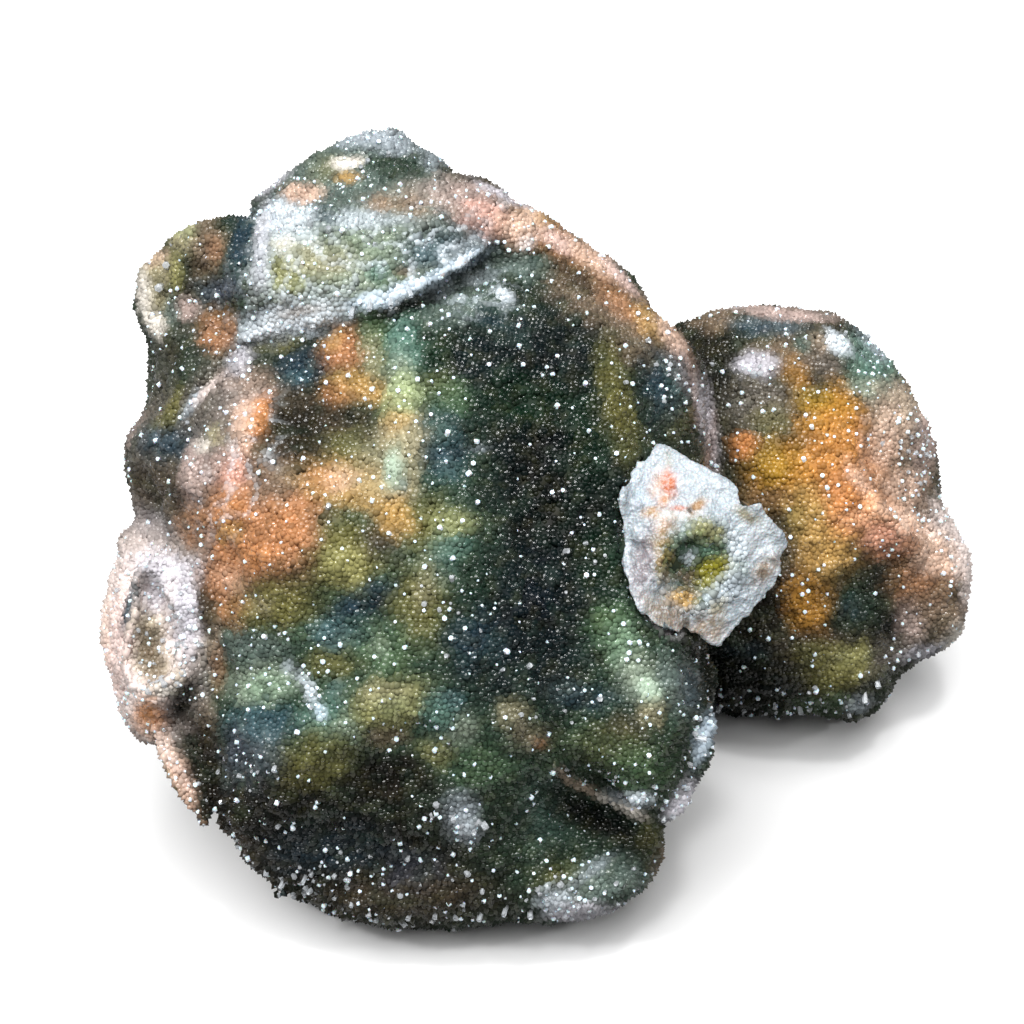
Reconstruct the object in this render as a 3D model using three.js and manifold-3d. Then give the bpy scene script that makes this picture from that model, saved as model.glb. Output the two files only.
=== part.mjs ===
// A chalcedony druse: a lobed mass of chalcedony, two large lobes grown together with
// smaller ones round them, coated all over with points of drusy quartz. It grew as one
// piece, so it is one solid. Millimetres, +Z up, standing on its flat broken base, with the
// origin in the middle of the footprint.
//
// The broad face leans back. Places are written as [across, into, up]: across to the right,
// into the stone, and up the leaning face, all from the middle of the face.

import * as THREE from "three";
import { mergeVertices } from "three/addons/utils/BufferGeometryUtils.js";
import { ImprovedNoise } from "three/addons/math/ImprovedNoise.js";
import Module from "manifold-3d";

const wasm = await Module();
wasm.setup();

// Driving dimensions
const LEAN = THREE.MathUtils.degToRad(35); // the broad face leans back this far
const FACE_HEIGHT = 39.7; // height of the middle of the face above the base
const RIM_RADIUS = 2.1; // of the rolled rim down the right side of the broad face
const SUNK = 0.35; // how deep a quartz point is rooted, as a part of its length
const BIG = 300; // side of the blocks that cut, larger than the stone

// The swell of the chalcedony: the length of its waves and how far they stand out
const WAVES = [
  { length: 14, rise: 3.2 },
  { length: 6.5, rise: 1.8 },
];

// Lobes: where each is, its half-sizes, its roll on the face in degrees, how square it is
// (2 is an ellipsoid) and how finely its surface is divided.
const LOBES = [
  // the broad dome in front, the shoulder at its right and what fills it out below
  { at: [-8.6, 0, -9], half: [32, 30, 38.5], detail: 7 },
  { at: [8, 8, 8], half: [15, 22, 20], detail: 3 },
  { at: [3.5, 6, 22], half: [12, 14, 9.5], detail: 2 },
  { at: [-21, 1, -28.5], half: [14, 18, 13], detail: 2 },
  { at: [-4.8, -3, -36.4], half: [21.5, 16, 11.4], detail: 3 },
  { at: [9.5, -3, -33.5], half: [9.5, 13, 9], detail: 1 },
  { at: [8.5, -4, -39.8], half: [7.5, 9, 5.6], detail: 2 },
  // the roll along the top, the lobe behind it and what they grow from
  { at: [-6.6, 3, 33], half: [13.5, 12, 6.5], roll: -12, detail: 3 },
  { at: [-18.5, 20, 36.8], half: [12, 13, 8.4], roll: 14, detail: 2 },
  { at: [-16, 14, 26], half: [17, 15, 13], detail: 2 },
  // the left flank with a squarish crystal mass and a thin plate at its top
  { at: [-35.6, 4, 12.4], half: [8, 14, 17], detail: 3 },
  { at: [-31, -3, 15], half: [6, 9, 9], detail: 1 },
  { at: [-32.3, 1, 26.4], half: [5.4, 8, 7.4], square: 3, detail: 2 },
  { at: [-37.8, 5, 26.2], half: [3.9, 6, 7], roll: -15, square: 4, detail: 2 },
  { at: [-40.2, 3, 18.4], half: [2, 4, 4.2], square: 3, detail: 1 },
  // the pale lobe at the left
  { at: [-38.8, 2, -14.5], half: [8.2, 13, 14.2], detail: 2 },
  // the large lobe at the right, its knob and its foot
  { at: [31.2, 28.2, 0.2], half: [21.8, 21.8, 26], detail: 5 },
  { at: [48.4, 25, -11], half: [5.8, 8, 9.5], detail: 2 },
  { at: [42, 26, -19.6], half: [8, 10, 6.5], detail: 2 },
  // the mass behind, in rounded knobs that reach the ground
  { at: [-8, 20, 2], half: [30, 24, 30], detail: 2 },
  { at: [-22, 33, -10], half: [15, 13, 15.5], detail: 2 },
  { at: [4, 38, -2], half: [15, 12, 14.5], detail: 2 },
  { at: [-12, 32, 15], half: [14, 12, 14], detail: 2 },
  { at: [26, 40, -5], half: [12, 12, 11.5], detail: 2 },
];

// Lumps and hollows on the broad face and the right lobe: where, how far each reaches, and
// how far it rises (or sinks, where negative).
const RELIEF = [
  { at: [-30.1, -18.4, 7], reach: 5.5, rise: 3.4 },
  { at: [-20.2, -24.3, 8.9], reach: 6, rise: -3.1 },
  { at: [-24.4, -17.9, 15.4], reach: 4.6, rise: -2.1 },
  { at: [-23.9, -25.1, 1.3], reach: 6.7, rise: 2.1 },
  { at: [-20.6, -27.7, -5.1], reach: 6.7, rise: 2.3 },
  { at: [-17.3, -28.9, -10.5], reach: 6, rise: -2.9 },
  { at: [-27.3, -23.3, -18.2], reach: 6.7, rise: 2.6 },
  { at: [-12.5, -28.7, -19], reach: 6, rise: 2.3 },
  { at: [-12, -26.7, -26.1], reach: 6, rise: -2.1 },
  { at: [-12, -25.9, 9.9], reach: 6, rise: 2.1 },
  { at: [-6.1, -27.7, 5.6], reach: 5.3, rise: -1.8 },
  { at: [5.2, -24.6, 5.6], reach: 7.9, rise: -2.6 },
  { at: [5.1, -26.9, -5.1], reach: 7.9, rise: -2.6 },
  { at: [5.1, -26.8, -13.7], reach: 6.7, rise: -2.1 },
  { at: [14.5, -7.2, 16], reach: 6.7, rise: 1.6 },
  { at: [-1.3, -19.6, 18.8], reach: 6, rise: 1.6 },
  { at: [14, -20.8, -15], reach: 6, rise: 2.1 },
  { at: [10.9, -14.1, -33.6], reach: 5.3, rise: -3.9 },
  { at: [5.5, -20.5, -31.5], reach: 4.8, rise: -3.1 },
  { at: [-19.6, -24.5, -26.8], reach: 6, rise: 1.6 },
  { at: [41.1, 10.4, -10.4], reach: 5.6, rise: -3.6 },
  { at: [42.1, 8.7, 1.4], reach: 4.3, rise: 2.1 },
  { at: [46.6, 12.5, -2.1], reach: 4.3, rise: 2.3 },
  { at: [27.3, 16.6, 21.8], reach: 5.6, rise: -2.3 },
  { at: [28.8, 11.6, 17.4], reach: 3.6, rise: 1.6 },
  { at: [34.1, 12.1, -17.5], reach: 6.3, rise: 1.8 },
];

// The rolled rim down the right side of the broad face, from the top
const RIM = [
  [-3, 4, 33.2],
  [4, 5, 31.2],
  [11.2, 6, 26],
  [15.2, 6, 22],
  [18.6, 7, 16.6],
  [20.8, 7, 10.1],
  [21.4, 6, 3.4],
  [18.4, 4, -4],
];

// Broken plates and chips: the corners of the outline of each, in order
const FLAKE = [
  [15.7, -17, 8],
  [20.5, -16, 5.2],
  [23.7, -15, 2.4],
  [29.2, -14, -0.8],
  [30, -14, -2.5],
  [28.3, -15, -8.7],
  [22.2, -17, -14.8],
  [19.7, -18, -13.3],
  [14.6, -19, -8.8],
  [13.1, -19, -5.3],
  [12.7, -19, 1.3],
  [13.2, -18, 3.6],
];
const FLANGE = [
  [-35.3, -9, -19.5],
  [-31.7, -12, -21.5],
  [-31, -10, -33],
  [-33.6, -8, -35.5],
  [-36.9, -7, -31.3],
  [-39.1, -7, -26.4],
  [-40.1, -7, -22],
];
const RIM_UPPER = [
  [20.2, -13, -19.5],
  [22.3, -11, -22.6],
  [21.4, -11, -27.5],
  [19.2, -12, -31.5],
  [16.8, -16, -29],
];
const RIM_LOWER = [
  [19.6, -12, -29.5],
  [19.2, -12, -32.2],
  [16.8, -14, -36],
  [14.2, -16, -34.6],
  [15.6, -16, -30],
];

// Quartz points large enough to tell apart. Each row stands along a line on the stone from
// one place to another [across, up] and strays from it by its spread. The points lean away
// from the surface towards where the row leans.
const ROWS = [
  // the lip of the shelf and the ridge above it
  { from: [-29.1, 18.9], to: [-18.9, 21.3], count: 5, wide: 2, long: 2.2, lean: [0, 0, -1] },
  { from: [-18.9, 21.3], to: [-10.3, 24.1], count: 4, wide: 2, long: 2.2, lean: [0, 0, -1] },
  { from: [-27.7, 33.3], to: [-18.9, 30.8], count: 4, wide: 2.2, long: 2.4 },
  // round the vug
  { from: [-38.5, -5.9], to: [-35.6, -11.9], count: 4, wide: 1.9, long: 2.6, shank: 0.5 },
  { from: [-35.6, -11.9], to: [-36.2, -18.6], count: 4, wide: 1.9, long: 2.6, shank: 0.5 },
  { from: [-36.4, -19], to: [-40.6, -19.8], count: 3, wide: 1.9, long: 2.6, shank: 0.5 },
  // the lip of the scale and the broken rim beside it
  { from: [5.4, -27.6], to: [17.6, -34.4], count: 8, wide: 2, long: 2.2, lean: [0, 0, -1] },
  { from: [21.6, -23.3], to: [17, -35], count: 4, wide: 2.2, long: 2.4, lean: [1, 0, 0] },
  // pale points on the foot, a clear cluster on the dome and a few by themselves
  { from: [4, -41.4], to: [11.5, -42], spread: 1.8, count: 7, wide: 2, long: 3, shank: 0.6 },
  { from: [-8, -31.5], to: [-3, -35.4], spread: 1.2, count: 6, wide: 1.9, long: 2.8, shank: 0.5 },
  { from: [-22, -40], to: [-20.6, -40.6], spread: 0.8, count: 2, wide: 2, long: 2.6 },
  { from: [1.7, 30.2], to: [1.7, 30.2], count: 1, wide: 1.9, long: 2.2, shank: 0.5 },
  { from: [28, 17.8], to: [30.4, 17], spread: 0.8, count: 4, wide: 1.8, long: 2, shank: 0.4 },
  { from: [-14, 42.4], to: [-19.6, 40.6], spread: 1, count: 3, wide: 2, long: 2.2 },
  // along the underside of the dome and of the right lobe
  { from: [-31, -36.2], to: [-23.8, -41.2], count: 5, wide: 2, long: 2.4, lean: [0, 0, -1] },
  { from: [-23.8, -41.2], to: [-10.3, -45.4], count: 6, wide: 2, long: 2.4 },
  { from: [-10.3, -45.4], to: [5.4, -45], count: 6, wide: 2, long: 2.4 },
  { from: [24, -24], to: [42.4, -24.2], count: 6, wide: 2, long: 2.4 },
  { from: [43, -23.4], to: [52, -16], count: 4, wide: 2, long: 2.4, lean: [0, 0, -1] },
  // on the thin plate at the top left
  { from: [-38.4, 32.2], to: [-41, 24.3], count: 3, wide: 2.2, long: 2.8, shank: 0.5 },
  // round the edge of the flake
  { from: [13.8, 2.4], to: [14.4, -7.6], count: 3, wide: 1.8, long: 2, lean: [-1, 0, 0] },
  { from: [16, -9.8], to: [21.6, -13.8], count: 3, wide: 1.8, long: 2, lean: [0, 0, -1] },
  { from: [23.2, -13], to: [29, -3.4], count: 4, wide: 1.8, long: 2, lean: [1, 0, -1] },
  // beads on the right lobe
  { from: [43.1, 8.5], to: [48.3, 4.4], spread: 1.2, count: 4, wide: 1.4, long: 1.4, shank: 0.4 },
];

// Two blades of clear quartz that lie along the surface: where, which way each points, and
// its size
const BLADES = [
  { at: [-0.8, 24.1], along: [1, 0, -0.7], wide: 1.5, long: 3 },
  { at: [37.6, 20.6], along: [1, 0, -0.55], wide: 1.9, long: 4.4 },
];

const noise = new ImprovedNoise();
const vector = (list) => new THREE.Vector3(...list);
THREE.MathUtils.seededRandom(11);
const chance = (spread) => (THREE.MathUtils.seededRandom() * 2 - 1) * spread;

// The frame of the leaning face in the part's frame
const face = new THREE.Matrix4()
  .makeRotationX(-LEAN)
  .setPosition(0, 0, FACE_HEIGHT);

// How far the surface at a place stands out from its smooth lobe
function roughness(place) {
  let out = 0;
  WAVES.forEach(({ length, rise }, i) => {
    const p = place.clone().divideScalar(length).addScalar(31.7 * (i + 1));
    out += rise * noise.noise(p.x, p.y, p.z);
  });
  for (const { at, reach, rise } of RELIEF) {
    const away = place.distanceTo(vector(at)) / reach;
    out += rise * Math.exp(-away * away);
  }
  return out;
}

// A closed geometry, its shared vertices merged, as a solid. Its places are on the leaning
// face unless another frame is given.
function solidOf(geometry, frame = face) {
  const loose = geometry.index ? geometry.toNonIndexed() : geometry.clone();
  loose.deleteAttribute("normal");
  loose.deleteAttribute("uv");
  const merged = mergeVertices(loose.applyMatrix4(frame), 1e-4);
  const corners = merged.index.array;
  const triangles = [];
  for (let i = 0; i < corners.length; i += 3) {
    const [a, b, c] = corners.slice(i, i + 3);
    if (a !== b && b !== c && c !== a) triangles.push(a, b, c);
  }
  return new wasm.Manifold(
    new wasm.Mesh({
      numProp: 3,
      vertProperties: merged.getAttribute("position").array,
      triVerts: new Uint32Array(triangles),
    }),
  );
}

// A rough lobe: an icosphere drawn out to the lobe's half-sizes, raised and sunk along its
// own normal.
function lobe({ at, half, roll = 0, square = 2, detail }) {
  const geometry = new THREE.IcosahedronGeometry(1, detail);
  const position = geometry.getAttribute("position");
  const turn = new THREE.Matrix4().makeRotationY(THREE.MathUtils.degToRad(-roll));
  const size = vector(half);
  const centre = vector(at);
  const point = new THREE.Vector3();
  const normal = new THREE.Vector3();
  for (let i = 0; i < position.count; i++) {
    point.fromBufferAttribute(position, i);
    const spread = point.toArray().reduce((sum, x) => sum + Math.abs(x) ** square, 0);
    point.divideScalar(spread ** (1 / square));
    normal.copy(point).divide(size).normalize().applyMatrix4(turn);
    point.multiply(size).applyMatrix4(turn).add(centre);
    point.addScaledVector(normal, roughness(point));
    position.setXYZ(i, point.x, point.y, point.z);
  }
  return solidOf(geometry);
}

// A block with one side through a place, reaching out the way that side faces. Taking it
// away leaves a flat break.
function beyond(place, facing) {
  const block = new THREE.BoxGeometry(BIG, BIG, BIG).translate(0, 0, BIG / 2);
  const turn = new THREE.Quaternion().setFromUnitVectors(
    new THREE.Vector3(0, 0, 1),
    vector(facing).normalize(),
  );
  return solidOf(block.applyQuaternion(turn).translate(...place));
}

// The part of a solid that is inside an outline, which runs clockwise as the face is looked
// at. Each edge of the outline is a break that draws in towards the back.
function trimmed(solid, outline, draft) {
  return outline.reduce((rest, corner, i) => {
    const next = outline[(i + 1) % outline.length];
    const facing = [corner[2] - next[2], 0, next[0] - corner[0]];
    facing[1] = draft * Math.hypot(facing[0], facing[2]);
    return rest.subtract(beyond(corner, facing));
  }, solid);
}

// A chip: a smooth lump trimmed to an outline
function chip(outline, depth) {
  const box = new THREE.Box3().setFromPoints(outline.map(vector));
  const [x, y, z] = box.getCenter(new THREE.Vector3());
  const [width, , height] = box.getSize(new THREE.Vector3());
  const half = [width * 0.8, depth, height * 0.8];
  return trimmed(lobe({ at: [x, y + depth * 0.6, z], half, detail: 1 }), outline, 0.35);
}

// The crust at the top left of the dome stands out over it and ends in a lip
function shelf() {
  const crust = lobe({ at: [-17, -6.5, 24.5], half: [17, 12, 11.5], detail: 3 });
  return crust
    .subtract(beyond([-22.6, -14, 20.6], [0.26, 0.25, -0.93]))
    .subtract(beyond([-8.2, -14, 25.8], [0.44, 0.25, -0.86]));
}

// The scale at the lower right ends in a lip over a dark cleft
function scale() {
  const crust = lobe({ at: [12.4, -12, -22.5], half: [9.6, 12, 15], detail: 3 });
  return crust.subtract(beyond([12, -20, -31.2], [-0.47, 0.3, -0.83]));
}

// The rolled rim: a tube along its line, its ends buried in the stone
function rolledRim() {
  const section = new THREE.Shape().absarc(0, 0, RIM_RADIUS, 0, 2 * Math.PI);
  const path = new THREE.CatmullRomCurve3(RIM.map(vector));
  const settings = { steps: 14, curveSegments: 4, bevelEnabled: false, extrudePath: path };
  return solidOf(new THREE.ExtrudeGeometry(section, settings));
}

// The vug in the pale lobe: a swollen rim round a deep hollow
function vugRim() {
  return lobe({ at: [-39.4, -11, -13.5], half: [4.8, 7.5, 8.8], detail: 2 });
}
const vugHollow = () => lobe({ at: [-40.4, -17, -13.3], half: [3.3, 5.5, 6.6], detail: 2 });

// The broken flake of quartz between the two large lobes: two facets meet in a ridge, and
// the lower one has a hollow in it.
function flake() {
  const rough = lobe({ at: [21, -14, -3.5], half: [13, 10, 17], detail: 1 });
  const ridge = [15.9, -22.5, -3.8];
  return trimmed(rough, FLAKE, 0.4)
    .subtract(beyond(ridge, [0.07, -0.9, 0.44]))
    .subtract(beyond(ridge, [0.39, -0.89, -0.23]))
    .subtract(lobe({ at: [21.3, -20.8, -6.3], half: [4.9, 2.4, 4.9], detail: 1 }));
}

// The stone before its quartz points
const lobes = LOBES.map(lobe);
const chips = [FLANGE, RIM_UPPER, RIM_LOWER].map((outline) => chip(outline, 5));
const bare = wasm.Manifold.union([
  ...lobes,
  shelf(),
  scale(),
  rolledRim(),
  flake(),
  ...chips,
  vugRim(),
]).subtract(vugHollow());

// A solid as a geometry
function geometryOf(solid) {
  const mesh = solid.getMesh();
  const geometry = new THREE.BufferGeometry();
  const position = new THREE.BufferAttribute(mesh.vertProperties, mesh.numProp);
  geometry.setAttribute("position", position);
  geometry.setIndex(new THREE.BufferAttribute(mesh.triVerts, 1));
  return geometry;
}

// Where a line going straight into the face meets the stone, and which way it faces there
const target = new THREE.Mesh(geometryOf(bare));
const into = new THREE.Vector3(0, 1, 0).transformDirection(face);
function surfaceAt(across, up) {
  const start = vector([across, -BIG / 2, up]).applyMatrix4(face);
  const [hit] = new THREE.Raycaster(start, into).intersectObject(target);
  return hit && { point: hit.point, normal: hit.face.normal };
}

// A six-sided quartz point rooted at a place, with a six-sided tip on its shank
function quartz({ point, axis, wide, long, shank = 0 }) {
  const profile = [
    [0, 0],
    [wide / 2, 0],
    [wide / 2, long * shank],
    [0, long],
  ].map(([x, y]) => new THREE.Vector2(x, y - long * SUNK));
  const turn = new THREE.Quaternion().setFromUnitVectors(
    new THREE.Vector3(0, 1, 0),
    axis.clone().normalize(),
  );
  const geometry = new THREE.LatheGeometry(profile, 6).rotateY(chance(Math.PI));
  return solidOf(geometry.applyQuaternion(turn).translate(...point), new THREE.Matrix4());
}

// The points of a row, each of its own size and a little out of line
function grown({ from, to, spread = 0.3, count, wide, long, shank, lean = [0, 0, 0] }) {
  const places = Array.from({ length: count }, (_, i) =>
    new THREE.Vector2(...from)
      .lerp(new THREE.Vector2(...to), (i + 0.5) / count)
      .add(new THREE.Vector2(chance(spread), chance(spread))),
  );
  return places.flatMap(({ x, y }) => {
    const place = surfaceAt(x, y);
    const size = 1 + chance(0.25);
    const axis = vector(lean).applyMatrix4(new THREE.Matrix4().extractRotation(face));
    axis.add(new THREE.Vector3(chance(0.25), chance(0.25), chance(0.25)));
    if (!place) return [];
    axis.add(place.normal);
    return [quartz({ point: place.point, axis, wide: wide * size, long: long * size, shank })];
  });
}

// A blade lies along the surface, half sunk in it
function laid({ at: [across, up], along, wide, long }) {
  const { point } = surfaceAt(across, up);
  const axis = vector(along).transformDirection(face);
  return quartz({ point, axis, wide, long, shank: 0.75 });
}

const ground = new THREE.BoxGeometry(BIG, BIG, BIG).translate(0, 0, -BIG / 2);
const stone = wasm.Manifold.union([bare, ...ROWS.flatMap(grown), ...BLADES.map(laid)])
  .subtract(solidOf(ground, new THREE.Matrix4()));

// The origin is in the middle of the footprint
const shape = geometryOf(stone);
shape.computeBoundingBox();
const middle = shape.boundingBox.getCenter(new THREE.Vector3());
shape.translate(-middle.x, -middle.y, 0);

const material = new THREE.MeshStandardMaterial({
  color: 0x4d5a48,
  roughness: 0.35,
  metalness: 0,
});
const druse = new THREE.Mesh(shape, material);
druse.name = "chalcedony_druse";

const specimen = new THREE.Group();
specimen.add(druse);

export default specimen;
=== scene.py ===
# %% [markdown]
# # A chalcedony druse
# The specimen is a lobed mass of chalcedony that grew as one piece. While it grew, it took
# up colour in blotches of green, blue-black, rust and pink, and at the end a coat of clear
# quartz points, about half a millimetre wide, grew over all of it.
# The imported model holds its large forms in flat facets. Here a finer stone takes its place:
# the same forms, smoothed and roughened, with the blotches laid over them and the coat of
# points grown on top.

import math
import random

import bmesh
import bpy
import numpy as np
from mathutils import Matrix, Vector, kdtree, noise


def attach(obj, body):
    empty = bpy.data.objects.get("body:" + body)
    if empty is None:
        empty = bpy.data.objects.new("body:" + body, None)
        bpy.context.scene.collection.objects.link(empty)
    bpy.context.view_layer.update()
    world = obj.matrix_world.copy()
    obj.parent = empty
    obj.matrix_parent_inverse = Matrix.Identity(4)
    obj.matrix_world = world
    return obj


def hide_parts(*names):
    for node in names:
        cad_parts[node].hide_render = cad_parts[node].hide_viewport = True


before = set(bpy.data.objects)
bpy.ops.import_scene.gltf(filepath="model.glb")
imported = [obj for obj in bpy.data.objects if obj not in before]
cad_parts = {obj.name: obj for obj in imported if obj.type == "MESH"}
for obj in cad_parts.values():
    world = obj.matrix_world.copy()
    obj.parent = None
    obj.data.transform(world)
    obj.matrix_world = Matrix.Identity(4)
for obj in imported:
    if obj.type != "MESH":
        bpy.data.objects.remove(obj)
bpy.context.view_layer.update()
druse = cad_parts["chalcedony_druse"]
MM = 0.001
random.seed(4)

# %% [markdown]
# ## Camera
# The picture was taken from the front, looking down on the stone at 35 degrees, so that the
# broad face, which leans back as much, is seen straight on. A long lens at 0.4 m keeps the
# lobes in proportion.

# %% Set up the camera
LEAN = math.radians(35)
FACE_MIDDLE = Vector((-3.774, -5.399, 39.7)) * MM
DISTANCE = 400 * MM
PIXELS_WIDE, MM_A_PIXEL = 1024, 0.115
PICTURE_WIDE = PIXELS_WIDE * MM_A_PIXEL * MM
SENSOR_WIDE = 36
to_viewer = Vector((0, -math.cos(LEAN), math.sin(LEAN)))

camera_data = bpy.data.cameras.new("camera")
camera_data.sensor_width = SENSOR_WIDE
camera_data.lens = SENSOR_WIDE * DISTANCE / PICTURE_WIDE
camera_data.clip_start = 10 * MM
camera = bpy.data.objects.new("camera", camera_data)
camera.location = FACE_MIDDLE + to_viewer * DISTANCE
camera.rotation_euler = (math.pi / 2 - LEAN, 0, 0)
bpy.context.collection.objects.link(camera)
bpy.context.scene.camera = camera
print("lens in mm", round(camera_data.lens, 1))

# %% [markdown]
# ## Light and floor
# A druse is read by its glints. A wide soft light high at the upper left shapes the stone
# and gives the short soft shadow, and four small weak ones give the glints: their mirror
# images are caught by a few of the facets at a time. Sun lamps light the floor evenly
# however far the camera sees, and their angle is the width of the disc that the facets
# mirror. The rest of the room is dim, or its reflection would wash out the dark stone. The
# floor and the background are white only for the camera's own rays, for the same reason.

# %% Add the lamps
def sun(name, azimuth, height, disc, strength):
    """A lamp at an azimuth and height round the stone, as a disc this many degrees wide."""
    data = bpy.data.lights.new(name, "SUN")
    data.angle = math.radians(disc)
    data.energy = strength
    lamp = bpy.data.objects.new(name, data)
    turn, rise = math.radians(azimuth), math.radians(height)
    level = math.cos(rise)
    lamp.location = (math.sin(turn) * level, -math.cos(turn) * level, math.sin(rise))
    lamp.rotation_euler = (-lamp.location).to_track_quat("-Z", "Y").to_euler()
    bpy.context.collection.objects.link(lamp)


sun("sky", -25, 68, 60, 4.1)
sun("left glint", -50, 48, 6, 0.8)
sun("top glint", 20, 75, 6, 0.65)
sun("right glint", 65, 38, 6, 0.5)
sun("back glint", 165, 40, 8, 0.5)

# %% Light the room and lay the floor
ROOM_LIGHT = 0.16
PAPER_SEEN, PAPER_LIT = (0.9, 0.9, 0.9, 1), (0.28, 0.28, 0.28, 1)
PAPER_WIDE = 40


def two_faced(owner, kind, end):
    """Two shaders of a kind, one for the light that bounces and one for the camera alone."""
    owner.use_nodes = True
    nodes, links = owner.node_tree.nodes, owner.node_tree.links
    nodes.clear()
    kinds = (kind, kind, "LightPath", "MixShader", end)
    lit, seen, rays, mix, out = (nodes.new("ShaderNode" + name) for name in kinds)
    links.new(rays.outputs["Is Camera Ray"], mix.inputs[0])
    links.new(lit.outputs[0], mix.inputs[1])
    links.new(seen.outputs[0], mix.inputs[2])
    links.new(mix.outputs[0], out.inputs["Surface"])
    return lit.inputs, seen.inputs


def cover_with(piece, material):
    """Gives a piece one material all over."""
    piece.data.materials.clear()
    piece.data.materials.append(material)


world = bpy.data.worlds.new("room")
bpy.context.scene.world = world
lit, seen = two_faced(world, "Background", "OutputWorld")
lit["Strength"].default_value = ROOM_LIGHT
lit["Color"].default_value = seen["Color"].default_value = (1, 1, 1, 1)

bpy.ops.mesh.primitive_plane_add(size=PAPER_WIDE, location=(0, 0, 0))
floor = bpy.context.active_object
floor.name = "floor"
paper = bpy.data.materials.new("white paper")
lit, seen = two_faced(paper, "BsdfDiffuse", "OutputMaterial")
lit["Color"].default_value, seen["Color"].default_value = PAPER_LIT, PAPER_SEEN
cover_with(floor, paper)
bpy.context.scene.view_settings.view_transform = "Standard"
print("lamps", [lamp.name for lamp in bpy.data.lights])

# %% [markdown]
# ## The stone
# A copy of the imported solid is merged, because its triangles come loose, and remeshed with
# voxels, which gives an even mesh that can be smoothed. The facets go, but a lip or a break
# has to stay crisp, so a vertex near a sharp edge is smoothed less.
# The large quartz points of the solid are found first, by their tips: six faces meet at a
# tip, at angles that are nearly equal. The smoothing takes the points out, and clear ones
# are set in their places further on.

# %% Copy the solid and merge its triangles
def select_only(piece):
    """Selects one object alone and makes it the active one."""
    bpy.ops.object.select_all(action="DESELECT")
    piece.select_set(True)
    bpy.context.view_layer.objects.active = piece


def copy_of(piece, name):
    """A copy of a piece with its own mesh and no parent."""
    copy = bpy.data.objects.new(name, piece.data.copy())
    bpy.context.collection.objects.link(copy)
    return copy


MERGE = 0.002 * MM
stone = copy_of(druse, "stone")
stone.data.materials.clear()
select_only(stone)
bpy.ops.object.mode_set(mode="EDIT")
bpy.ops.mesh.select_all(action="SELECT")
bpy.ops.mesh.remove_doubles(threshold=MERGE)
bpy.ops.object.mode_set(mode="OBJECT")
print("corners of the solid", len(stone.data.vertices))

# %% Find the tips of the large quartz points
ONE_PLANE = 0.995
UNEVEN = 1.3
POINTED = math.radians(255)
OFF_GROUND = 0.5 * MM

solid = bmesh.new()
solid.from_mesh(stone.data)
solid.normal_update()
tips = []
of_points = set()
for corner in solid.verts:
    sides = []
    for loop in corner.link_loops:
        for side in sides:
            if side[0].dot(loop.face.normal) > ONE_PLANE:
                side[1] += loop.calc_angle()
                break
        else:
            sides.append([loop.face.normal, loop.calc_angle()])
    angles = [angle for normal, angle in sides]
    even = len(angles) == 6 and max(angles) < UNEVEN * min(angles)
    if even and sum(angles) < POINTED and corner.co.z > OFF_GROUND:
        axis = sum((normal for normal, angle in sides), Vector()).normalized()
        tips.append((corner.co.copy(), axis, sum(angles) / 6))
        for face in corner.link_faces:
            of_points.update(face.edges)
print("large points", len(tips))

# %% Find the crisp edges
CRISP = math.radians(50)
CLEAR_OF_TIPS = 2.6 * MM
STEP = 0.5 * MM

edge_places = []
for edge in solid.edges:
    if edge in of_points or not edge.is_manifold or edge.calc_face_angle() < CRISP:
        continue
    a, b = (v.co for v in edge.verts)
    if min((tip - (a + b) / 2).length for tip, axis, blunt in tips) < CLEAR_OF_TIPS:
        continue
    steps = max(1, round((a - b).length / STEP))
    edge_places += [a.lerp(b, (i + 0.5) / steps) for i in range(steps)]
solid.free()
crisp = kdtree.KDTree(len(edge_places))
for i, place in enumerate(edge_places):
    crisp.insert(place, i)
crisp.balance()
print("places on crisp edges", len(edge_places))

# %% Remesh and smooth
VOXEL = 0.68 * MM
LEAST = 0.02


def apply_modifier(piece, kind, **settings):
    """Adds a modifier with its settings to a piece and applies it."""
    select_only(piece)
    modifier = piece.modifiers.new(kind.lower(), kind)
    for name, value in settings.items():
        setattr(modifier, name, value)
    bpy.ops.object.modifier_apply(modifier=modifier.name)


def ramp(x, low, high):
    """From 0 at low to 1 at high, with soft ends. Works on arrays too."""
    t = np.clip((x - low) / (high - low), 0, 1)
    return t * t * (3 - 2 * t)


def read(source, name, wide=3):
    """The values of one property of all vertices or faces, as an array."""
    values = np.empty(len(source) * wide, np.float32)
    source.foreach_get(name, values)
    return values.reshape(-1, wide).astype(float)


def soften(piece, rounds, reach):
    """Smooths a piece, less within reach of a crisp edge and not at all on the ground."""
    away = np.array([crisp.find(vertex.co)[2] for vertex in piece.data.vertices]) / MM
    height = read(piece.data.vertices, "co")[:, 2] / MM
    weights = (LEAST + (1 - LEAST) * ramp(away, 0.2, reach)) * ramp(height, 0.1, 1.5)
    soft = piece.vertex_groups.new(name="soft")
    for i, weight in enumerate(weights.tolist()):
        soft.add([i], weight, "REPLACE")
    apply_modifier(piece, "SMOOTH", factor=1, iterations=rounds, vertex_group="soft")


flake = copy_of(stone, "flake")
apply_modifier(stone, "REMESH", mode="VOXEL", voxel_size=VOXEL)
soften(stone, rounds=45, reach=3)
print("stone vertices", len(stone.data.vertices))

# %% [markdown]
# Chalcedony swells in small rounded lumps on its large ones. Three sizes of cloud noise
# push the surface in and out along its normals. The whole surface is drawn in a little, to
# leave room for the quartz points that grow on it.

# %% Roughen the stone
def move_to(piece, places):
    """Moves the vertices of a piece to these places."""
    piece.data.vertices.foreach_set("co", places.astype(np.float32).ravel())


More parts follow.
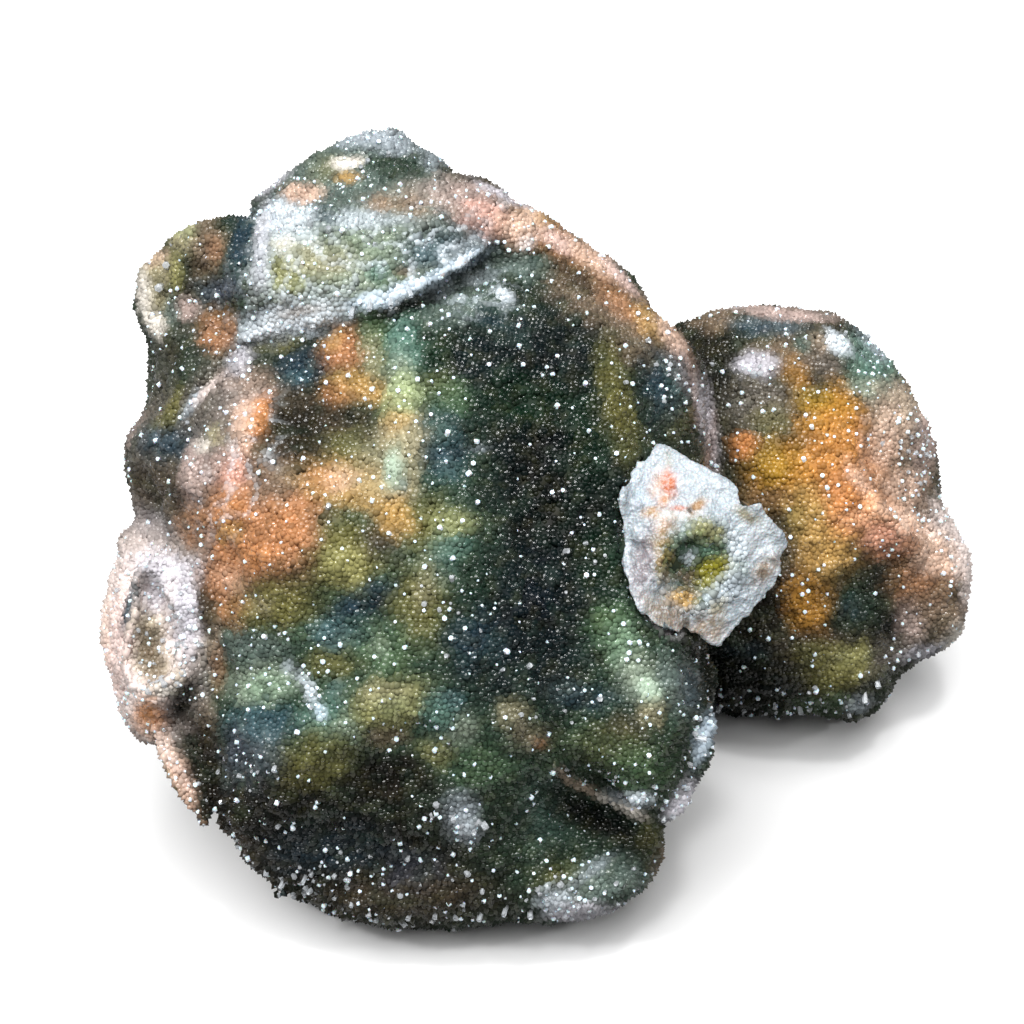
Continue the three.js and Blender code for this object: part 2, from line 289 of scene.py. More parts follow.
def keep_off_ground(piece):
    """Lifts what lies below the ground up to it."""
    places = read(piece.data.vertices, "co")
    places[:, 2] = np.maximum(places[:, 2], 0)
    move_to(piece, places)


def roughen(piece, sizes, group=""):
    """Pushes a surface in and out by noise: each name has a size and a rise in mm."""
    for name, (size, rise, middle) in sizes.items():
        cloud = bpy.data.textures.new(name, "CLOUDS")
        cloud.noise_scale = size * MM
        cloud.noise_depth = 1
        apply_modifier(
            piece, "DISPLACE", texture=cloud, strength=rise * MM, mid_level=middle,
            vertex_group=group,
        )
    keep_off_ground(piece)
    select_only(piece)
    bpy.ops.object.shade_smooth()
    print(piece.name, "roughened by", *sizes)


ROUGH = {"swells": (7, 2.4, 0.58), "lumps": (2.6, 1.0, 0.6), "grit": (1.1, 0.4, 0.6)}
roughen(stone, ROUGH, "soft")

# %% [markdown]
# ## Colour
# The blotches are read off the stone, each as a soft oval of one named colour: where
# its middle is on the broad face (across and up, in mm from the middle of the face), its
# half sizes, its turn and how dense it is. Later ones lie over earlier ones. Noise bends
# their outlines, and the colour of each vertex is kept in an attribute of the mesh, which
# the quartz points take over where they grow.

# %% Name the colours
def linear(red, green, blue):
    """A colour read off a screen, as the linear values that light adds up in."""
    return np.array([(x / 255) ** 2.2 for x in (red, green, blue)])


PALETTE = {
    "black": (4, 12, 9), "blue black": (6, 20, 28), "dark earth": (30, 25, 18),
    "pine": (20, 42, 28),
    "dark green": (40, 52, 42), "bottle green": (62, 80, 66), "forest": (80, 102, 74),
    "teal": (88, 120, 108), "teal dark": (74, 94, 88), "mint": (130, 160, 130),
    "pale mint": (178, 204, 178), "steel": (72, 98, 106), "steel dark": (42, 58, 68),
    "slate": (80, 90, 96), "slate violet": (68, 72, 84), "grey green": (96, 110, 104),
    "sage": (134, 146, 128), "moss": (144, 140, 88), "olive": (100, 96, 56),
    "yellow green": (150, 156, 106), "pale lime": (160, 174, 124), "khaki": (156, 146, 114),
    "umber": (64, 56, 46), "brown": (118, 100, 84), "grey brown": (92, 86, 80),
    "rust brown": (150, 106, 76), "rust": (172, 116, 80), "red": (220, 158, 140),
    "orange": (208, 132, 78), "amber": (174, 120, 52), "ochre": (184, 142, 82),
    "salmon": (226, 184, 160), "pink": (236, 200, 190), "pale pink": (242, 220, 212),
    "dusty pink": (178, 154, 146), "lilac": (210, 206, 216), "ice": (232, 245, 255),
    "ice grey": (154, 164, 172), "cream": (232, 222, 208), "vermilion": (214, 104, 58),
    "ice blue": (206, 226, 244), "frost": (176, 190, 200), "lilac grey": (150, 142, 148),
    "deep green": (52, 76, 58), "olive yellow": (124, 118, 40), "beige": (172, 152, 132),
}
PALETTE = {name: linear(*shade) for name, shade in PALETTE.items()}
print("colours", len(PALETTE))

# %% Place the blotches
# Most blotches are the stone's own colour. Some are painted light: black in the clefts and under
# the lips is painted shadow, the dark along the bottom of the dome is partly painted shade, and
# pale strokes along two ridges are painted highlight.
BLOTCHES = [
    # the broad dome, its ground
    ("bottle green", (-9.4, -11.3), (23.0, 27.6), 0, 0.7),
    ("blue black", (4.9, 8.3), (10.6, 20.7), 4, 0.95),
    ("black", (5.5, 1.4), (8.1, 17.2), 4, 0.75),
    ("blue black", (0.3, -14.7), (9.7, 10.3), 0, 0.9),
    ("dark green", (-4.8, 24.4), (9.7, 3.9), 8, 0.8),
    ("pine", (1.5, 12.9), (6.0, 3.5), 0, 0.8),
    ("pine", (9.0, 8.3), (2.8, 6.9), 0, 0.7),
    ("pine", (10.1, -5.5), (3.2, 4.6), 0, 0.6),
    ("blue black", (3.2, -9.0), (3.9, 5.3), 0, 0.8),
    ("pine", (-4.8, -9.0), (3.0, 3.9), 0, 0.6),
    ("steel dark", (-3.9, -14.7), (3.5, 3.9), 0, 0.7),
    ("blue black", (-4.8, 18.6), (3.9, 3.9), 0, 0.8),
    ("steel dark", (-1.4, 21.9), (3.5, 1.6), -20, 0.5),
    # Along the bottom of the dome, where it turns under, the dark earth, black and umber that
    # follow are partly the stone's own dark colour and partly painted shade.
    ("dark earth", (-20.9, -38.3), (21.9, 9.7), 0, 0.95),
    ("dark earth", (-31.3, -32.0), (8.1, 7.6), 0, 0.95),
    ("black", (-20.9, -34.5), (13.8, 2.8), 4, 0.7),
    ("black", (-14.0, -30.2), (5.1, 2.8), 0, 0.6),
    ("steel dark", (-19.8, -38.6), (7.1, 3.0), 0, 0.7),
    ("black", (-20.2, -37.5), (6.9, 3.0), 0, 0.45),
    ("umber", (-9.4, -44.4), (11.5, 3.0), 0, 0.9),
    ("umber", (-30.7, -38.9), (6.0, 3.0), -38, 0.7),
    ("slate violet", (-11.2, -40.9), (3.9, 2.8), 0, 0.5),
    ("dark green", (2.1, -37.1), (6.4, 7.1), 0, 0.8),
    ("teal dark", (3.8, -34.5), (3.0, 4.6), 0, 0.4),
    ("olive", (7.2, -42.3), (3.5, 2.1), 0, 0.5),
    # rust, pink and brown at its left
    ("rust", (-29.6, -0.9), (7.1, 8.5), 10, 1),
    ("rust", (-32.7, -9.0), (3.2, 4.6), 12, 0.8),
    ("salmon", (-31.5, -7.6), (2.3, 2.3), 0, 0.4),
    ("grey brown", (-28.1, 5.1), (5.1, 5.8), 10, 0.6),
    ("umber", (-24.2, 11.5), (6.7, 7.1), 0, 0.9),
    ("dusty pink", (-32.2, 13.3), (4.6, 3.0), 20, 0.7),
    ("rust brown", (-34.3, 19.1), (2.1, 1.8), 0, 0.8),
    ("brown", (-30.1, 14.7), (3.5, 1.8), 0, 0.6),
    # The thin lilac, pale pink, salmon and pink strokes along the crest and along the ridge of the
    # rust lump are painted highlight, laid over the stone's own rust and orange.
    ("lilac", (-31.3, 17.5), (1.4, 2.3), -30, 0.55),
    ("pale pink", (-33.4, 12.0), (1.2, 2.8), -30, 0.5),
    ("salmon", (-30.6, 11.0), (1.8, 2.1), -30, 0.7),
    ("orange", (-29.2, 10.6), (1.3, 3.0), -24, 0.8),
    ("salmon", (-31.5, 8.3), (1.4, 3.5), -24, 0.7),
    ("red", (-32.9, 4.8), (2.3, 2.8), -10, 0.85),
    ("pink", (-34.3, 5.8), (1.0, 3.5), -10, 0.6),
    ("orange", (-32.7, 0.5), (2.5, 3.2), 0, 0.75),
    ("brown", (-26.9, 3.7), (3.0, 2.5), 20, 0.75),
    ("rust", (-24.4, 0.8), (2.3, 1.6), 0, 0.6),
    ("orange", (-27.6, -1.8), (3.7, 3.0), 0, 0.4),
    ("rust", (-28.8, -3.2), (5.8, 2.3), 0, 0.5),
    ("rust brown", (-29.7, -1.2), (2.8, 2.3), 0, 0.5),
    ("orange", (-30.4, -5.8), (2.8, 2.1), 0, 0.5),
    ("dark earth", (-31.3, -0.9), (1.0, 0.9), 0, 0.5),
    ("ochre", (-32.4, -2.1), (1.6, 1.4), 0, 0.5),
    ("dark earth", (-24.4, 8.7), (2.8, 3.9), 0, 0.8),
    ("black", (-23.7, 9.9), (2.1, 3.0), 0, 0.3),
    ("steel dark", (-23.9, 17.0), (3.5, 2.3), 8, 0.9),
    ("steel", (-24.6, 15.6), (1.4, 0.9), 0, 0.5),
    ("olive", (-27.1, 19.3), (3.0, 1.2), 8, 0.8),
    ("rust", (-19.3, 19.1), (2.5, 2.8), 0, 0.9),
    ("ochre", (-20.2, 19.8), (1.2, 1.6), 0, 0.5),
    ("ochre", (-17.2, 14.3), (4.1, 1.8), -8, 0.72),
    ("rust", (-19.8, 13.6), (2.5, 1.4), 0, 0.5),
    ("umber", (-17.9, 10.1), (3.0, 2.5), 0, 0.9),
    ("dark earth", (-18.4, 10.6), (1.0, 0.8), 0, 0.7),
    ("dark earth", (-15.2, 9.2), (0.9, 0.7), 0, 0.7),
    ("olive", (-18.4, 7.4), (2.5, 2.3), 0, 0.6),
    ("ochre", (-18.6, 3.2), (6.4, 3.0), -4, 0.7),
    ("salmon", (-19.6, 3.7), (2.1, 1.6), 0, 0.45),
    ("rust", (-22.1, 3.9), (2.1, 1.6), 0, 0.5),
    ("khaki", (-16.1, 4.8), (2.5, 3.5), 0, 0.5),
    # the green band down its middle
    ("forest", (-15.9, 19.6), (1.8, 4.1), 0, 0.9),
    ("khaki", (-16.1, 17.9), (1.4, 2.5), 0, 0.5),
    ("teal", (-12.4, 19.1), (2.1, 3.9), 0, 0.9),
    ("sage", (-13.1, 16.1), (1.8, 2.8), 0, 0.7),
    ("pale lime", (-12.7, 13.3), (2.3, 3.5), 0, 0.8),
    ("khaki", (-12.7, 8.5), (2.8, 3.2), 0, 0.9),
    ("ochre", (-13.3, 10.6), (1.6, 1.8), 0, 0.5),
    ("sage", (-13.6, 4.1), (1.4, 3.5), 0, 0.85),
    ("pale mint", (-13.8, 5.3), (0.8, 2.3), 0, 0.5),
    ("steel", (-12.4, 2.9), (0.6, 1.0), 0, 0.7),
    ("khaki", (-11.3, 3.7), (1.2, 2.8), 0, 0.5),
    ("pine", (-8.7, 18.6), (2.1, 2.8), -20, 0.7),
    ("olive", (-8.3, 14.7), (2.1, 1.6), -20, 0.5),
    ("forest", (-7.1, 13.3), (3.0, 2.3), -20, 0.65),
    ("steel dark", (-8.1, 7.6), (3.0, 4.6), 0, 0.85),
    ("teal dark", (-8.7, 9.4), (1.8, 2.8), 0, 0.5),
    ("steel", (-7.1, 4.8), (1.6, 1.6), 0, 0.4),
    ("ice grey", (-3.9, 7.4), (1.8, 0.3), 6, 0.5),
    ("ochre", (-13.8, -0.7), (2.5, 2.8), 0, 0.85),
    ("olive", (-9.4, -1.8), (3.5, 3.5), 0, 0.8),
    ("yellow green", (-6.9, -1.2), (2.8, 1.6), 0, 0.6),
    ("teal", (-7.1, -4.1), (3.0, 1.7), 0, 0.7),
    ("teal dark", (-9.4, -7.2), (3.2, 3.0), 0, 0.6),
    # olive hollows and the mint patch
    ("olive", (-19.8, -3.8), (3.5, 3.0), 0, 0.95),
    ("moss", (-20.2, -4.4), (2.1, 1.8), 0, 0.4),
    ("umber", (-15.6, -3.9), (2.5, 3.0), 0, 0.85),
    ("olive", (-19.2, -6.9), (4.6, 2.3), 0, 0.85),
    ("moss", (-19.3, -6.2), (3.0, 2.3), 0, 0.8),
    ("umber", (-28.1, -8.1), (3.0, 2.5), 10, 0.75),
    ("olive", (-26.9, -10.8), (5.1, 3.5), 0, 0.9),
    ("khaki", (-28.8, -10.8), (1.6, 1.2), 0, 0.3),
    ("bottle green", (-24.4, -14.7), (4.6, 2.3), 0, 0.7),
    ("steel dark", (-16.8, -10.6), (4.8, 2.0), 24, 0.95),
    ("blue black", (-15.6, -10.6), (2.3, 1.4), 24, 0.5),
    ("steel", (-20.9, -14.0), (2.5, 1.6), 0, 0.7),
    ("teal dark", (-18.6, -14.7), (3.5, 1.4), 10, 0.6),
    ("forest", (-14.6, -16.1), (3.0, 2.3), 0, 0.8),
    ("sage", (-15.2, -15.6), (1.4, 1.2), 0, 0.3),
    ("olive", (-10.6, -10.3), (3.2, 5.1), 0, 0.75),
    ("khaki", (-10.1, -9.0), (1.4, 2.3), 0, 0.3),
    ("grey green", (-30.1, -15.9), (4.6, 1.8), 0, 0.7),
    ("olive", (-20.7, -17.5), (3.2, 1.8), 0, 0.7),
    ("sage", (-29.2, -19.6), (4.1, 2.1), 0, 0.9),
    ("mint", (-28.5, -20.0), (3.0, 1.6), 0, 0.6),
    ("teal dark", (-20.2, -20.5), (1.4, 1.4), 0, 0.8),
    ("steel", (-28.8, -24.2), (4.6, 2.3), 0, 0.75),
    ("steel dark", (-27.1, -23.5), (1.8, 1.4), 0, 0.6),
    ("teal", (-21.2, -23.9), (3.0, 2.5), 0, 0.8),
    ("sage", (-19.2, -24.8), (1.4, 1.4), 0, 0.3),
    ("ice", (-25.8, -17.9), (0.6, 0.9), 0, 0.4),
    ("ice", (-24.4, -18.9), (1.0, 0.5), -25, 0.6),
    ("ice", (-23.3, -20.7), (0.6, 1.6), 28, 0.8),
    ("ice blue", (-22.1, -23.0), (0.7, 1.2), 20, 0.7),
    ("moss", (-13.8, -22.1), (4.8, 3.1), 12, 0.85),
    ("khaki", (-14.3, -20.9), (3.0, 1.5), 0, 0.6),
    ("pale lime", (-13.6, -21.9), (2.8, 1.8), 0, 0.4),
    ("brown", (-14.3, -25.8), (3.0, 1.2), 0, 0.6),
    ("olive", (-22.3, -28.3), (4.8, 3.9), 16, 0.62),
    ("slate", (-30.1, -28.1), (3.9, 3.2), 0, 0.7),
    ("slate violet", (-31.7, -26.7), (1.8, 2.3), 0, 0.5),
    # The dark earth and black of this pit are partly the stone's own colour and partly painted
    # shade.
    ("dark earth", (-14.0, -30.4), (5.1, 3.2), 0, 0.95),
    ("black", (-13.8, -29.9), (2.8, 1.8), 0, 0.6),
    ("brown", (-35.2, -24.4), (1.4, 3.5), 0, 0.6),
    ("teal", (-8.3, -23.0), (1.8, 3.0), 0, 0.85),
    ("sage", (-5.8, -24.8), (1.8, 2.1), 0, 0.6),
    ("steel", (-7.1, -21.4), (1.6, 1.4), 0, 0.5),
    ("moss", (-8.5, -27.4), (2.1, 1.6), -20, 0.5),
    ("forest", (-3.5, -29.0), (3.0, 2.8), 0, 0.5),
    ("khaki", (0.0, -23.2), (2.3, 1.6), -20, 0.42),
    ("ice grey", (-5.8, -35.0), (2.0, 3.0), 10, 0.6),
    ("ice", (-5.5, -35.9), (1.0, 1.5), 0, 0.5),
    ("brown", (2.1, -25.8), (3.0, 1.8), 0, 0.4),
    ("rust", (3.2, -26.5), (1.0, 0.7), -20, 0.35),
    # its right side
    ("forest", (11.5, -13.3), (2.5, 2.8), 0, 0.8),
    ("mint", (12.9, -15.9), (2.1, 3.0), 20, 0.7),
    ("sage", (14.7, -19.3), (2.3, 3.5), 20, 0.85),
    ("pale mint", (15.6, -20.5), (1.3, 2.3), 20, 0.6),
    ("khaki", (16.1, -23.0), (1.6, 1.8), 10, 0.6),
    ("grey green", (18.4, -20.0), (1.6, 4.6), 14, 0.8),
    ("lilac grey", (17.7, -12.2), (1.4, 2.8), 40, 0.8),
    ("steel dark", (9.0, -21.2), (5.1, 1.8), 0, 0.7),
    ("slate", (5.5, -20.5), (3.0, 1.2), 0, 0.4),
    ("olive", (11.0, -26.7), (5.1, 2.8), 0, 0.3),
    ("umber", (13.3, -24.6), (3.0, 1.8), 0, 0.5),
    ("forest", (14.7, -29.7), (3.5, 3.0), 0, 0.5),
    ("olive", (12.4, 12.4), (2.1, 7.6), 12, 0.7),
    ("olive", (18.9, 10.6), (1.8, 2.3), 0, 0.5),
    ("brown", (14.7, 20.7), (5.1, 3.5), -40, 0.7),
    ("brown", (8.7, 24.6), (5.3, 2.8), -36, 0.7),
    ("steel dark", (17.5, 14.7), (2.3, 5.3), 10, 0.8),
    ("teal dark", (18.9, 15.2), (0.9, 3.0), 10, 0.5),
    ("slate", (20.5, -20.5), (1.4, 3.7), 10, 0.8),
    # Painted shadow: these two black blotches fill the crevice under the flake, between the dome
    # and the right lobe.
    ("black", (21.6, -15.9), (1.8, 1.4), 0, 1),
    ("black", (20.5, -15.6), (1.4, 1.6), 0, 0.9),
    ("grey green", (-5.1, 24.6), (3.9, 2.3), 20, 0.8),
    ("grey green", (-8.3, 22.3), (2.8, 1.6), 0, 0.5),
    ("grey green", (-0.7, 28.3), (5.3, 1.6), -6, 0.8),
    ("ice grey", (-8.6, 25.4), (2.5, 0.9), 22, 0.55),
    ("ice", (-0.7, 24.8), (1.3, 0.6), -35, 0.9),
    # the scale at the lower right, its lip and the foot
    # Painted shadow: these two black blotches fill the cleft under the lip of the scale.
    ("black", (10.6, -35.6), (6.2, 2.2), -24, 1),
    ("black", (7.2, -33.8), (3.0, 1.4), -30, 0.9),
    ("beige", (6.2, -30.4), (1.6, 0.5), -40, 1),
    ("beige", (8.5, -31.7), (1.8, 0.5), -28, 1),
    ("cream", (10.8, -33.0), (1.6, 0.4), -30, 1),
    ("ice grey", (13.3, -33.1), (2.5, 0.8), -18, 0.8),
    ("cream", (14.0, -34.5), (2.1, 0.5), -24, 1),
    ("ice", (14.7, -32.7), (1.6, 0.8), -10, 0.6),
    ("brown", (17.9, -38.9), (1.3, 4.6), -24, 0.8),
    ("olive", (15.6, -37.5), (1.4, 2.1), -24, 0.4),
    ("black", (14.7, -39.1), (1.4, 1.6), -24, 0.6),
    ("ice blue", (22.3, -25.4), (1.0, 3.5), -18, 1),
    ("lilac", (19.8, -33.4), (1.6, 3.0), -28, 1),
    ("grey green", (10.8, -42.6), (4.8, 3.0), 20, 0.8),
    ("ice grey", (9.0, -41.4), (3.5, 0.7), 38, 0.5),
    ("ice", (6.2, -44.6), (1.7, 1.5), 0, 0.8),
    ("lilac", (10.1, -46.0), (4.8, 0.8), 4, 0.6),
    ("lilac", (8.3, -45.7), (2.8, 1.0), 4, 0.75),
    # the rolled rim
    ("rust brown", (5.5, 30.8), (6.4, 2.0), -36, 0.9),
    ("salmon", (0.9, 33.4), (2.5, 1.4), -20, 0.6),
    ("ochre", (2.8, 33.8), (2.3, 1.0), -30, 0.6),
    ("salmon", (9.0, 29.2), (4.6, 1.0), -40, 0.8),
    ("pink", (4.8, 31.3), (2.8, 1.0), -36, 0.6),
    ("umber", (7.4, 27.1), (3.2, 1.6), -40, 0.8),
    ("rust brown", (12.7, 23.9), (3.9, 1.6), -46, 0.8),
    ("pink", (12.7, 26.7), (3.5, 0.6), -44, 0.6),
    ("ice", (1.6, 31.1), (0.9, 0.8), 0, 0.9),
    ("ice", (-1.3, 35.2), (0.8, 0.6), 0, 0.7),
    ("ochre", (15.6, 21.9), (1.4, 2.5), 30, 0.5),
    ("olive", (17.9, 22.3), (1.0, 0.9), 0, 0.6),
    ("black", (20.2, 21.4), (1.4, 1.2), 0, 0.8),
    ("salmon", (18.9, 19.3), (3.9, 0.9), -56, 0.95),
    ("salmon", (21.6, 13.8), (1.0, 3.9), 16, 0.95),
    ("rust", (21.4, 11.3), (0.8, 1.8), 0, 0.5),
    ("pink", (22.9, 8.1), (0.8, 3.9), -2, 0.8),
    ("lilac grey", (19.8, 15.9), (1.4, 3.5), 20, 0.5),
    ("lilac", (21.9, 11.3), (1.0, 3.9), 6, 0.5),
    ("lilac", (23.5, 6.9), (0.7, 3.5), 0, 0.5),
    ("lilac", (22.1, 13.1), (1.0, 3.9), 8, 0.9),
    # the crown
    ("grey brown", (-8.3, 36.3), (9.2, 3.0), -4, 0.9),
    ("rust brown", (-13.6, 36.1), (4.1, 2.1), 0, 0.95),
    ("orange", (-15.6, 35.4), (1.6, 1.2), 0, 0.6),
    ("dusty pink", (-6.6, 36.6), (5.8, 2.1), -8, 0.7),
    ("red", (-3.0, 33.6), (3.2, 2.1), -14, 0.85),
    ("rust brown", (-2.5, 33.4), (2.1, 1.4), -14, 0.3),
    ("salmon", (0.9, 32.7), (2.8, 2.3), -20, 0.9),
    ("umber", (-2.5, 38.0), (6.4, 0.8), -16, 0.9),
    ("lilac", (-0.8, 36.3), (4.1, 0.5), -26, 0.6),
    # the shelf
    ("sage", (-18.6, 29.2), (12.2, 5.3), 12, 1),
    ("forest", (-19.8, 28.8), (9.7, 3.9), 12, 0.38),
    ("slate", (-8.3, 30.8), (6.0, 3.2), 18, 0.85),
    ("steel", (-9.4, 30.1), (2.8, 1.6), 18, 0.5),
    ("ice grey", (-5.3, 30.4), (3.2, 1.0), 24, 0.4),
    ("ice", (-26.0, 33.8), (3.5, 2.1), 10, 0.8),
    ("lilac", (-28.8, 30.1), (1.0, 5.3), -6, 0.7),
    ("ice grey", (-28.8, 28.8), (1.4, 4.6), -6, 0.5),
    ("ice grey", (-16.8, 33.6), (6.9, 1.2), 0, 0.6),
    ("ice", (-24.4, 31.3), (2.3, 1.5), 0, 0.5),
    ("ice", (-17.9, 33.8), (2.5, 1.4), 0, 0.35),
    ("steel dark", (-21.4, 34.3), (1.4, 1.2), 0, 0.9),
    ("cream", (-26.2, 30.6), (1.2, 1.2), 0, 0.5),
    ("moss", (-25.8, 27.4), (2.5, 3.0), 0, 0.7),
    ("khaki", (-21.4, 28.8), (3.9, 2.3), 0, 0.6),
    ("sage", (-18.6, 26.2), (4.6, 1.6), 10, 0.6),
    ("teal", (-15.4, 27.6), (1.4, 1.4), 0, 0.8),
    ("forest", (-13.6, 26.7), (2.3, 1.0), 14, 0.5),
    ("brown", (-12.4, 27.6), (1.4, 0.7), 0, 0.7),
    # Painted shadow: this black band lies under the overhanging lip of the shelf.
    ("black", (-13.3, 23.3), (4.4, 1.2), 18, 1),
    ("ice", (-25.1, 22.1), (6.4, 2.0), 16, 1),
    ("beige", (-24.4, 23.0), (3.2, 0.7), 14, 0.6),
    ("ice", (-28.8, 20.7), (2.3, 0.9), 20, 0.9),
    ("ice blue", (-15.6, 24.6), (3.5, 1.0), 14, 0.85),
    ("ice blue", (-11.3, 26.0), (3.0, 0.7), 16, 1),
    ("ice blue", (-6.7, 28.1), (4.1, 0.7), 30, 0.95),
    ("ice blue", (-4.8, 28.9), (2.1, 0.6), 24, 0.9),
    # the top lobe behind
    ("grey green", (-17.9, 39.1), (9.7, 4.6), 0, 1),
    ("dark green", (-13.3, 40.0), (4.6, 2.5), 0, 0.9),
    ("olive", (-20.9, 39.6), (2.5, 1.8), 0, 0.6),
    ("ice grey", (-15.6, 43.0), (6.0, 1.6), -6, 0.95),
    ("ice grey", (-9.2, 40.5), (1.4, 1.6), -20, 0.6),
    ("cream", (-19.0, 40.1), (2.0, 0.8), 0, 1),
    ("ochre", (-18.9, 38.4), (1.5, 0.7), 0, 0.8),
    ("salmon", (-23.9, 36.7), (2.5, 1.2), 0, 0.95),
    ("lilac", (-26.0, 39.6), (0.9, 4.6), -46, 0.8),
    # the left flank
    ("grey brown", (-38.2, 9.4), (5.8, 15.0), 0, 0.9),
    ("khaki", (-37.5, 31.7), (2.5, 2.1), 0, 0.9),
    ("pale lime", (-37.3, 32.4), (1.6, 1.2), 0, 0.5),
    ("khaki", (-40.5, 28.1), (2.3, 1.8), 20, 0.8),
    ("salmon", (-40.9, 29.2), (1.6, 1.0), 20, 0.4),
    ("moss", (-38.6, 27.6), (0.9, 2.5), 0, 0.8),
    ("cream", (-42.1, 24.8), (1.0, 3.7), 4, 0.8),
    ("khaki", (-40.7, 24.2), (1.2, 2.3), 0, 0.7),
    ("cream", (-41.2, 21.4), (1.2, 1.4), 0, 1),
    ("brown", (-35.0, 30.8), (2.1, 3.9), 0, 0.9),
    ("rust brown", (-34.2, 29.9), (0.9, 2.1), 0, 0.5),
    ("umber", (-36.6, 26.2), (1.4, 2.3), 0, 0.6),
    ("steel dark", (-31.3, 30.4), (1.5, 4.8), -8, 0.95),
    ("slate violet", (-33.6, 25.5), (3.0, 1.5), 0, 0.85),
    ("dusty pink", (-37.5, 23.5), (1.6, 1.4), 0, 0.7),
    ("rust brown", (-33.9, 21.2), (2.1, 2.5), 0, 0.8),
    ("rust", (-34.5, 19.6), (1.4, 1.4), 0, 0.4),
    ("grey green", (-39.3, 23.0), (1.0, 1.8), 0, 0.6),
    ("dark green", (-38.4, 17.2), (3.2, 4.4), 0, 0.9),
    ("umber", (-40.0, 18.6), (1.4, 2.8), 0, 0.5),
    ("olive", (-39.3, 12.0), (1.5, 2.8), -10, 0.8),
    ("ice grey", (-36.7, 12.4), (0.7, 2.3), -36, 0.8),
    ("steel dark", (-38.6, 7.8), (3.0, 2.3), -20, 0.9),
    ("slate", (-39.6, 8.7), (1.6, 0.9), -20, 0.6),
    ("grey brown", (-33.8, 12.0), (2.1, 2.5), -30, 0.7),
    ("pale pink", (-35.2, 13.8), (0.4, 2.5), -44, 0.7),
    ("cream", (-35.6, 7.6), (0.9, 0.8), 0, 0.9),
    ("khaki", (-34.3, 8.7), (0.9, 1.2), 0, 0.7),
    ("umber", (-39.3, 2.1), (3.5, 3.9), 0, 0.85),
    ("dusty pink", (-43.2, 5.8), (1.0, 5.5), -6, 0.8),
    ("dusty pink", (-36.2, 4.4), (1.0, 3.7), 0, 0.8),
    ("steel dark", (-40.5, -1.4), (2.3, 2.1), 0, 0.8),
    ("rust brown", (-36.1, -1.6), (1.6, 2.5), 0, 0.8),
    # the pale lobe with the vug
    ("pale pink", (-42.8, -14.7), (7.1, 13.6), 0, 1),
    ("pink", (-45.5, -16.4), (1.6, 9.2), -4, 0.85),
    ("salmon", (-46.7, -14.7), (0.7, 5.8), -2, 0.5),
    ("lilac", (-39.9, -6.2), (3.9, 1.8), -10, 0.9),
    ("lilac", (-37.5, -11.5), (1.6, 5.8), 0, 0.95),
    ("khaki", (-41.6, -15.9), (2.3, 4.8), 8, 0.95),
    ("brown", (-41.5, -16.6), (1.5, 3.7), 8, 0.85),
    ("umber", (-40.8, -14.3), (0.8, 1.2), 0, 0.5),
    ("umber", (-41.9, -17.0), (1.0, 1.6), 0, 0.5),
    ("lilac", (-40.9, -9.2), (1.5, 2.5), 0, 0.8),
    ("slate", (-43.8, -10.3), (0.7, 4.4), -18, 0.9),
    ("steel dark", (-44.2, -11.7), (0.5, 2.3), -6, 0.7),
    ("cream", (-39.8, -20.7), (2.1, 0.8), 10, 0.9),
    ("khaki", (-38.3, -18.9), (0.8, 1.2), 0, 0.5),
    ("orange", (-41.6, -23.5), (1.8, 2.5), 10, 0.95),
    ("salmon", (-38.9, -29.4), (1.3, 5.3), 26, 1),
    ("pale pink", (-39.8, -27.6), (0.7, 2.3), 26, 0.5),
    ("dusty pink", (-38.0, -30.6), (0.9, 2.1), 26, 0.5),
    ("black", (-37.7, -21.6), (1.4, 4.1), -30, 0.95),
    ("dark earth", (-35.9, -27.1), (2.3, 5.5), 16, 0.95),
    ("black", (-35.3, -10.3), (1.0, 2.8), 0, 0.9),
    ("umber", (-34.7, -11.7), (1.0, 3.0), 0, 0.85),
    ("brown", (-34.3, -15.4), (1.0, 2.3), 0, 0.7),
    ("rust brown", (-33.8, -17.9), (0.9, 2.8), 0, 0.5),
    # the right lobe
    ("umber", (36.6, 1.4), (16.1, 25.3), 0, 1),
    ("dark earth", (23.0, 17.9), (3.5, 5.1), 0, 0.9),
    ("brown", (23.2, 22.3), (2.8, 1.6), 0, 0.8),
    ("slate", (29.7, 21.4), (4.6, 1.2), -2, 0.95),
    ("steel dark", (28.1, 20.9), (3.0, 0.8), 0, 0.6),
    ("dusty pink", (31.3, 22.8), (6.4, 0.7), -6, 0.95),
    ("lilac", (23.5, 23.9), (3.5, 0.6), 0, 0.6),
    ("black", (23.5, 15.2), (1.6, 3.0), 0, 0.6),
    ("grey brown", (28.5, 12.4), (4.4, 3.7), 0, 0.8),
    ("olive", (29.7, 10.6), (2.8, 2.1), 0, 0.5),
    ("brown", (33.1, 18.4), (5.1, 2.1), 0, 0.7),
    ("lilac", (28.1, 16.9), (2.5, 1.5), 0, 0.75),
    ("teal dark", (33.6, 19.2), (1.4, 1.3), 0, 0.8),
    ("beige", (35.4, 19.8), (1.4, 1.2), 0, 0.6),
    ("amber", (32.7, 15.6), (1.5, 2.8), 24, 0.45),
    ("grey brown", (36.3, 17.2), (2.3, 1.8), 0, 0.7),
    ("teal", (41.4, 17.2), (3.0, 3.9), 30, 0.85),
    ("sage", (40.5, 14.0), (2.3, 1.4), 0, 0.6),
    ("ice grey", (41.9, 19.6), (2.5, 1.8), -36, 0.7),
    ("slate", (39.8, 20.9), (1.6, 0.9), -30, 0.5),
    ("ice", (37.5, 19.4), (2.0, 0.9), -42, 1),
    ("amber", (36.6, 11.3), (3.9, 3.2), 0, 0.95),
    ("olive yellow", (34.7, 13.1), (2.5, 1.6), 0, 0.35),
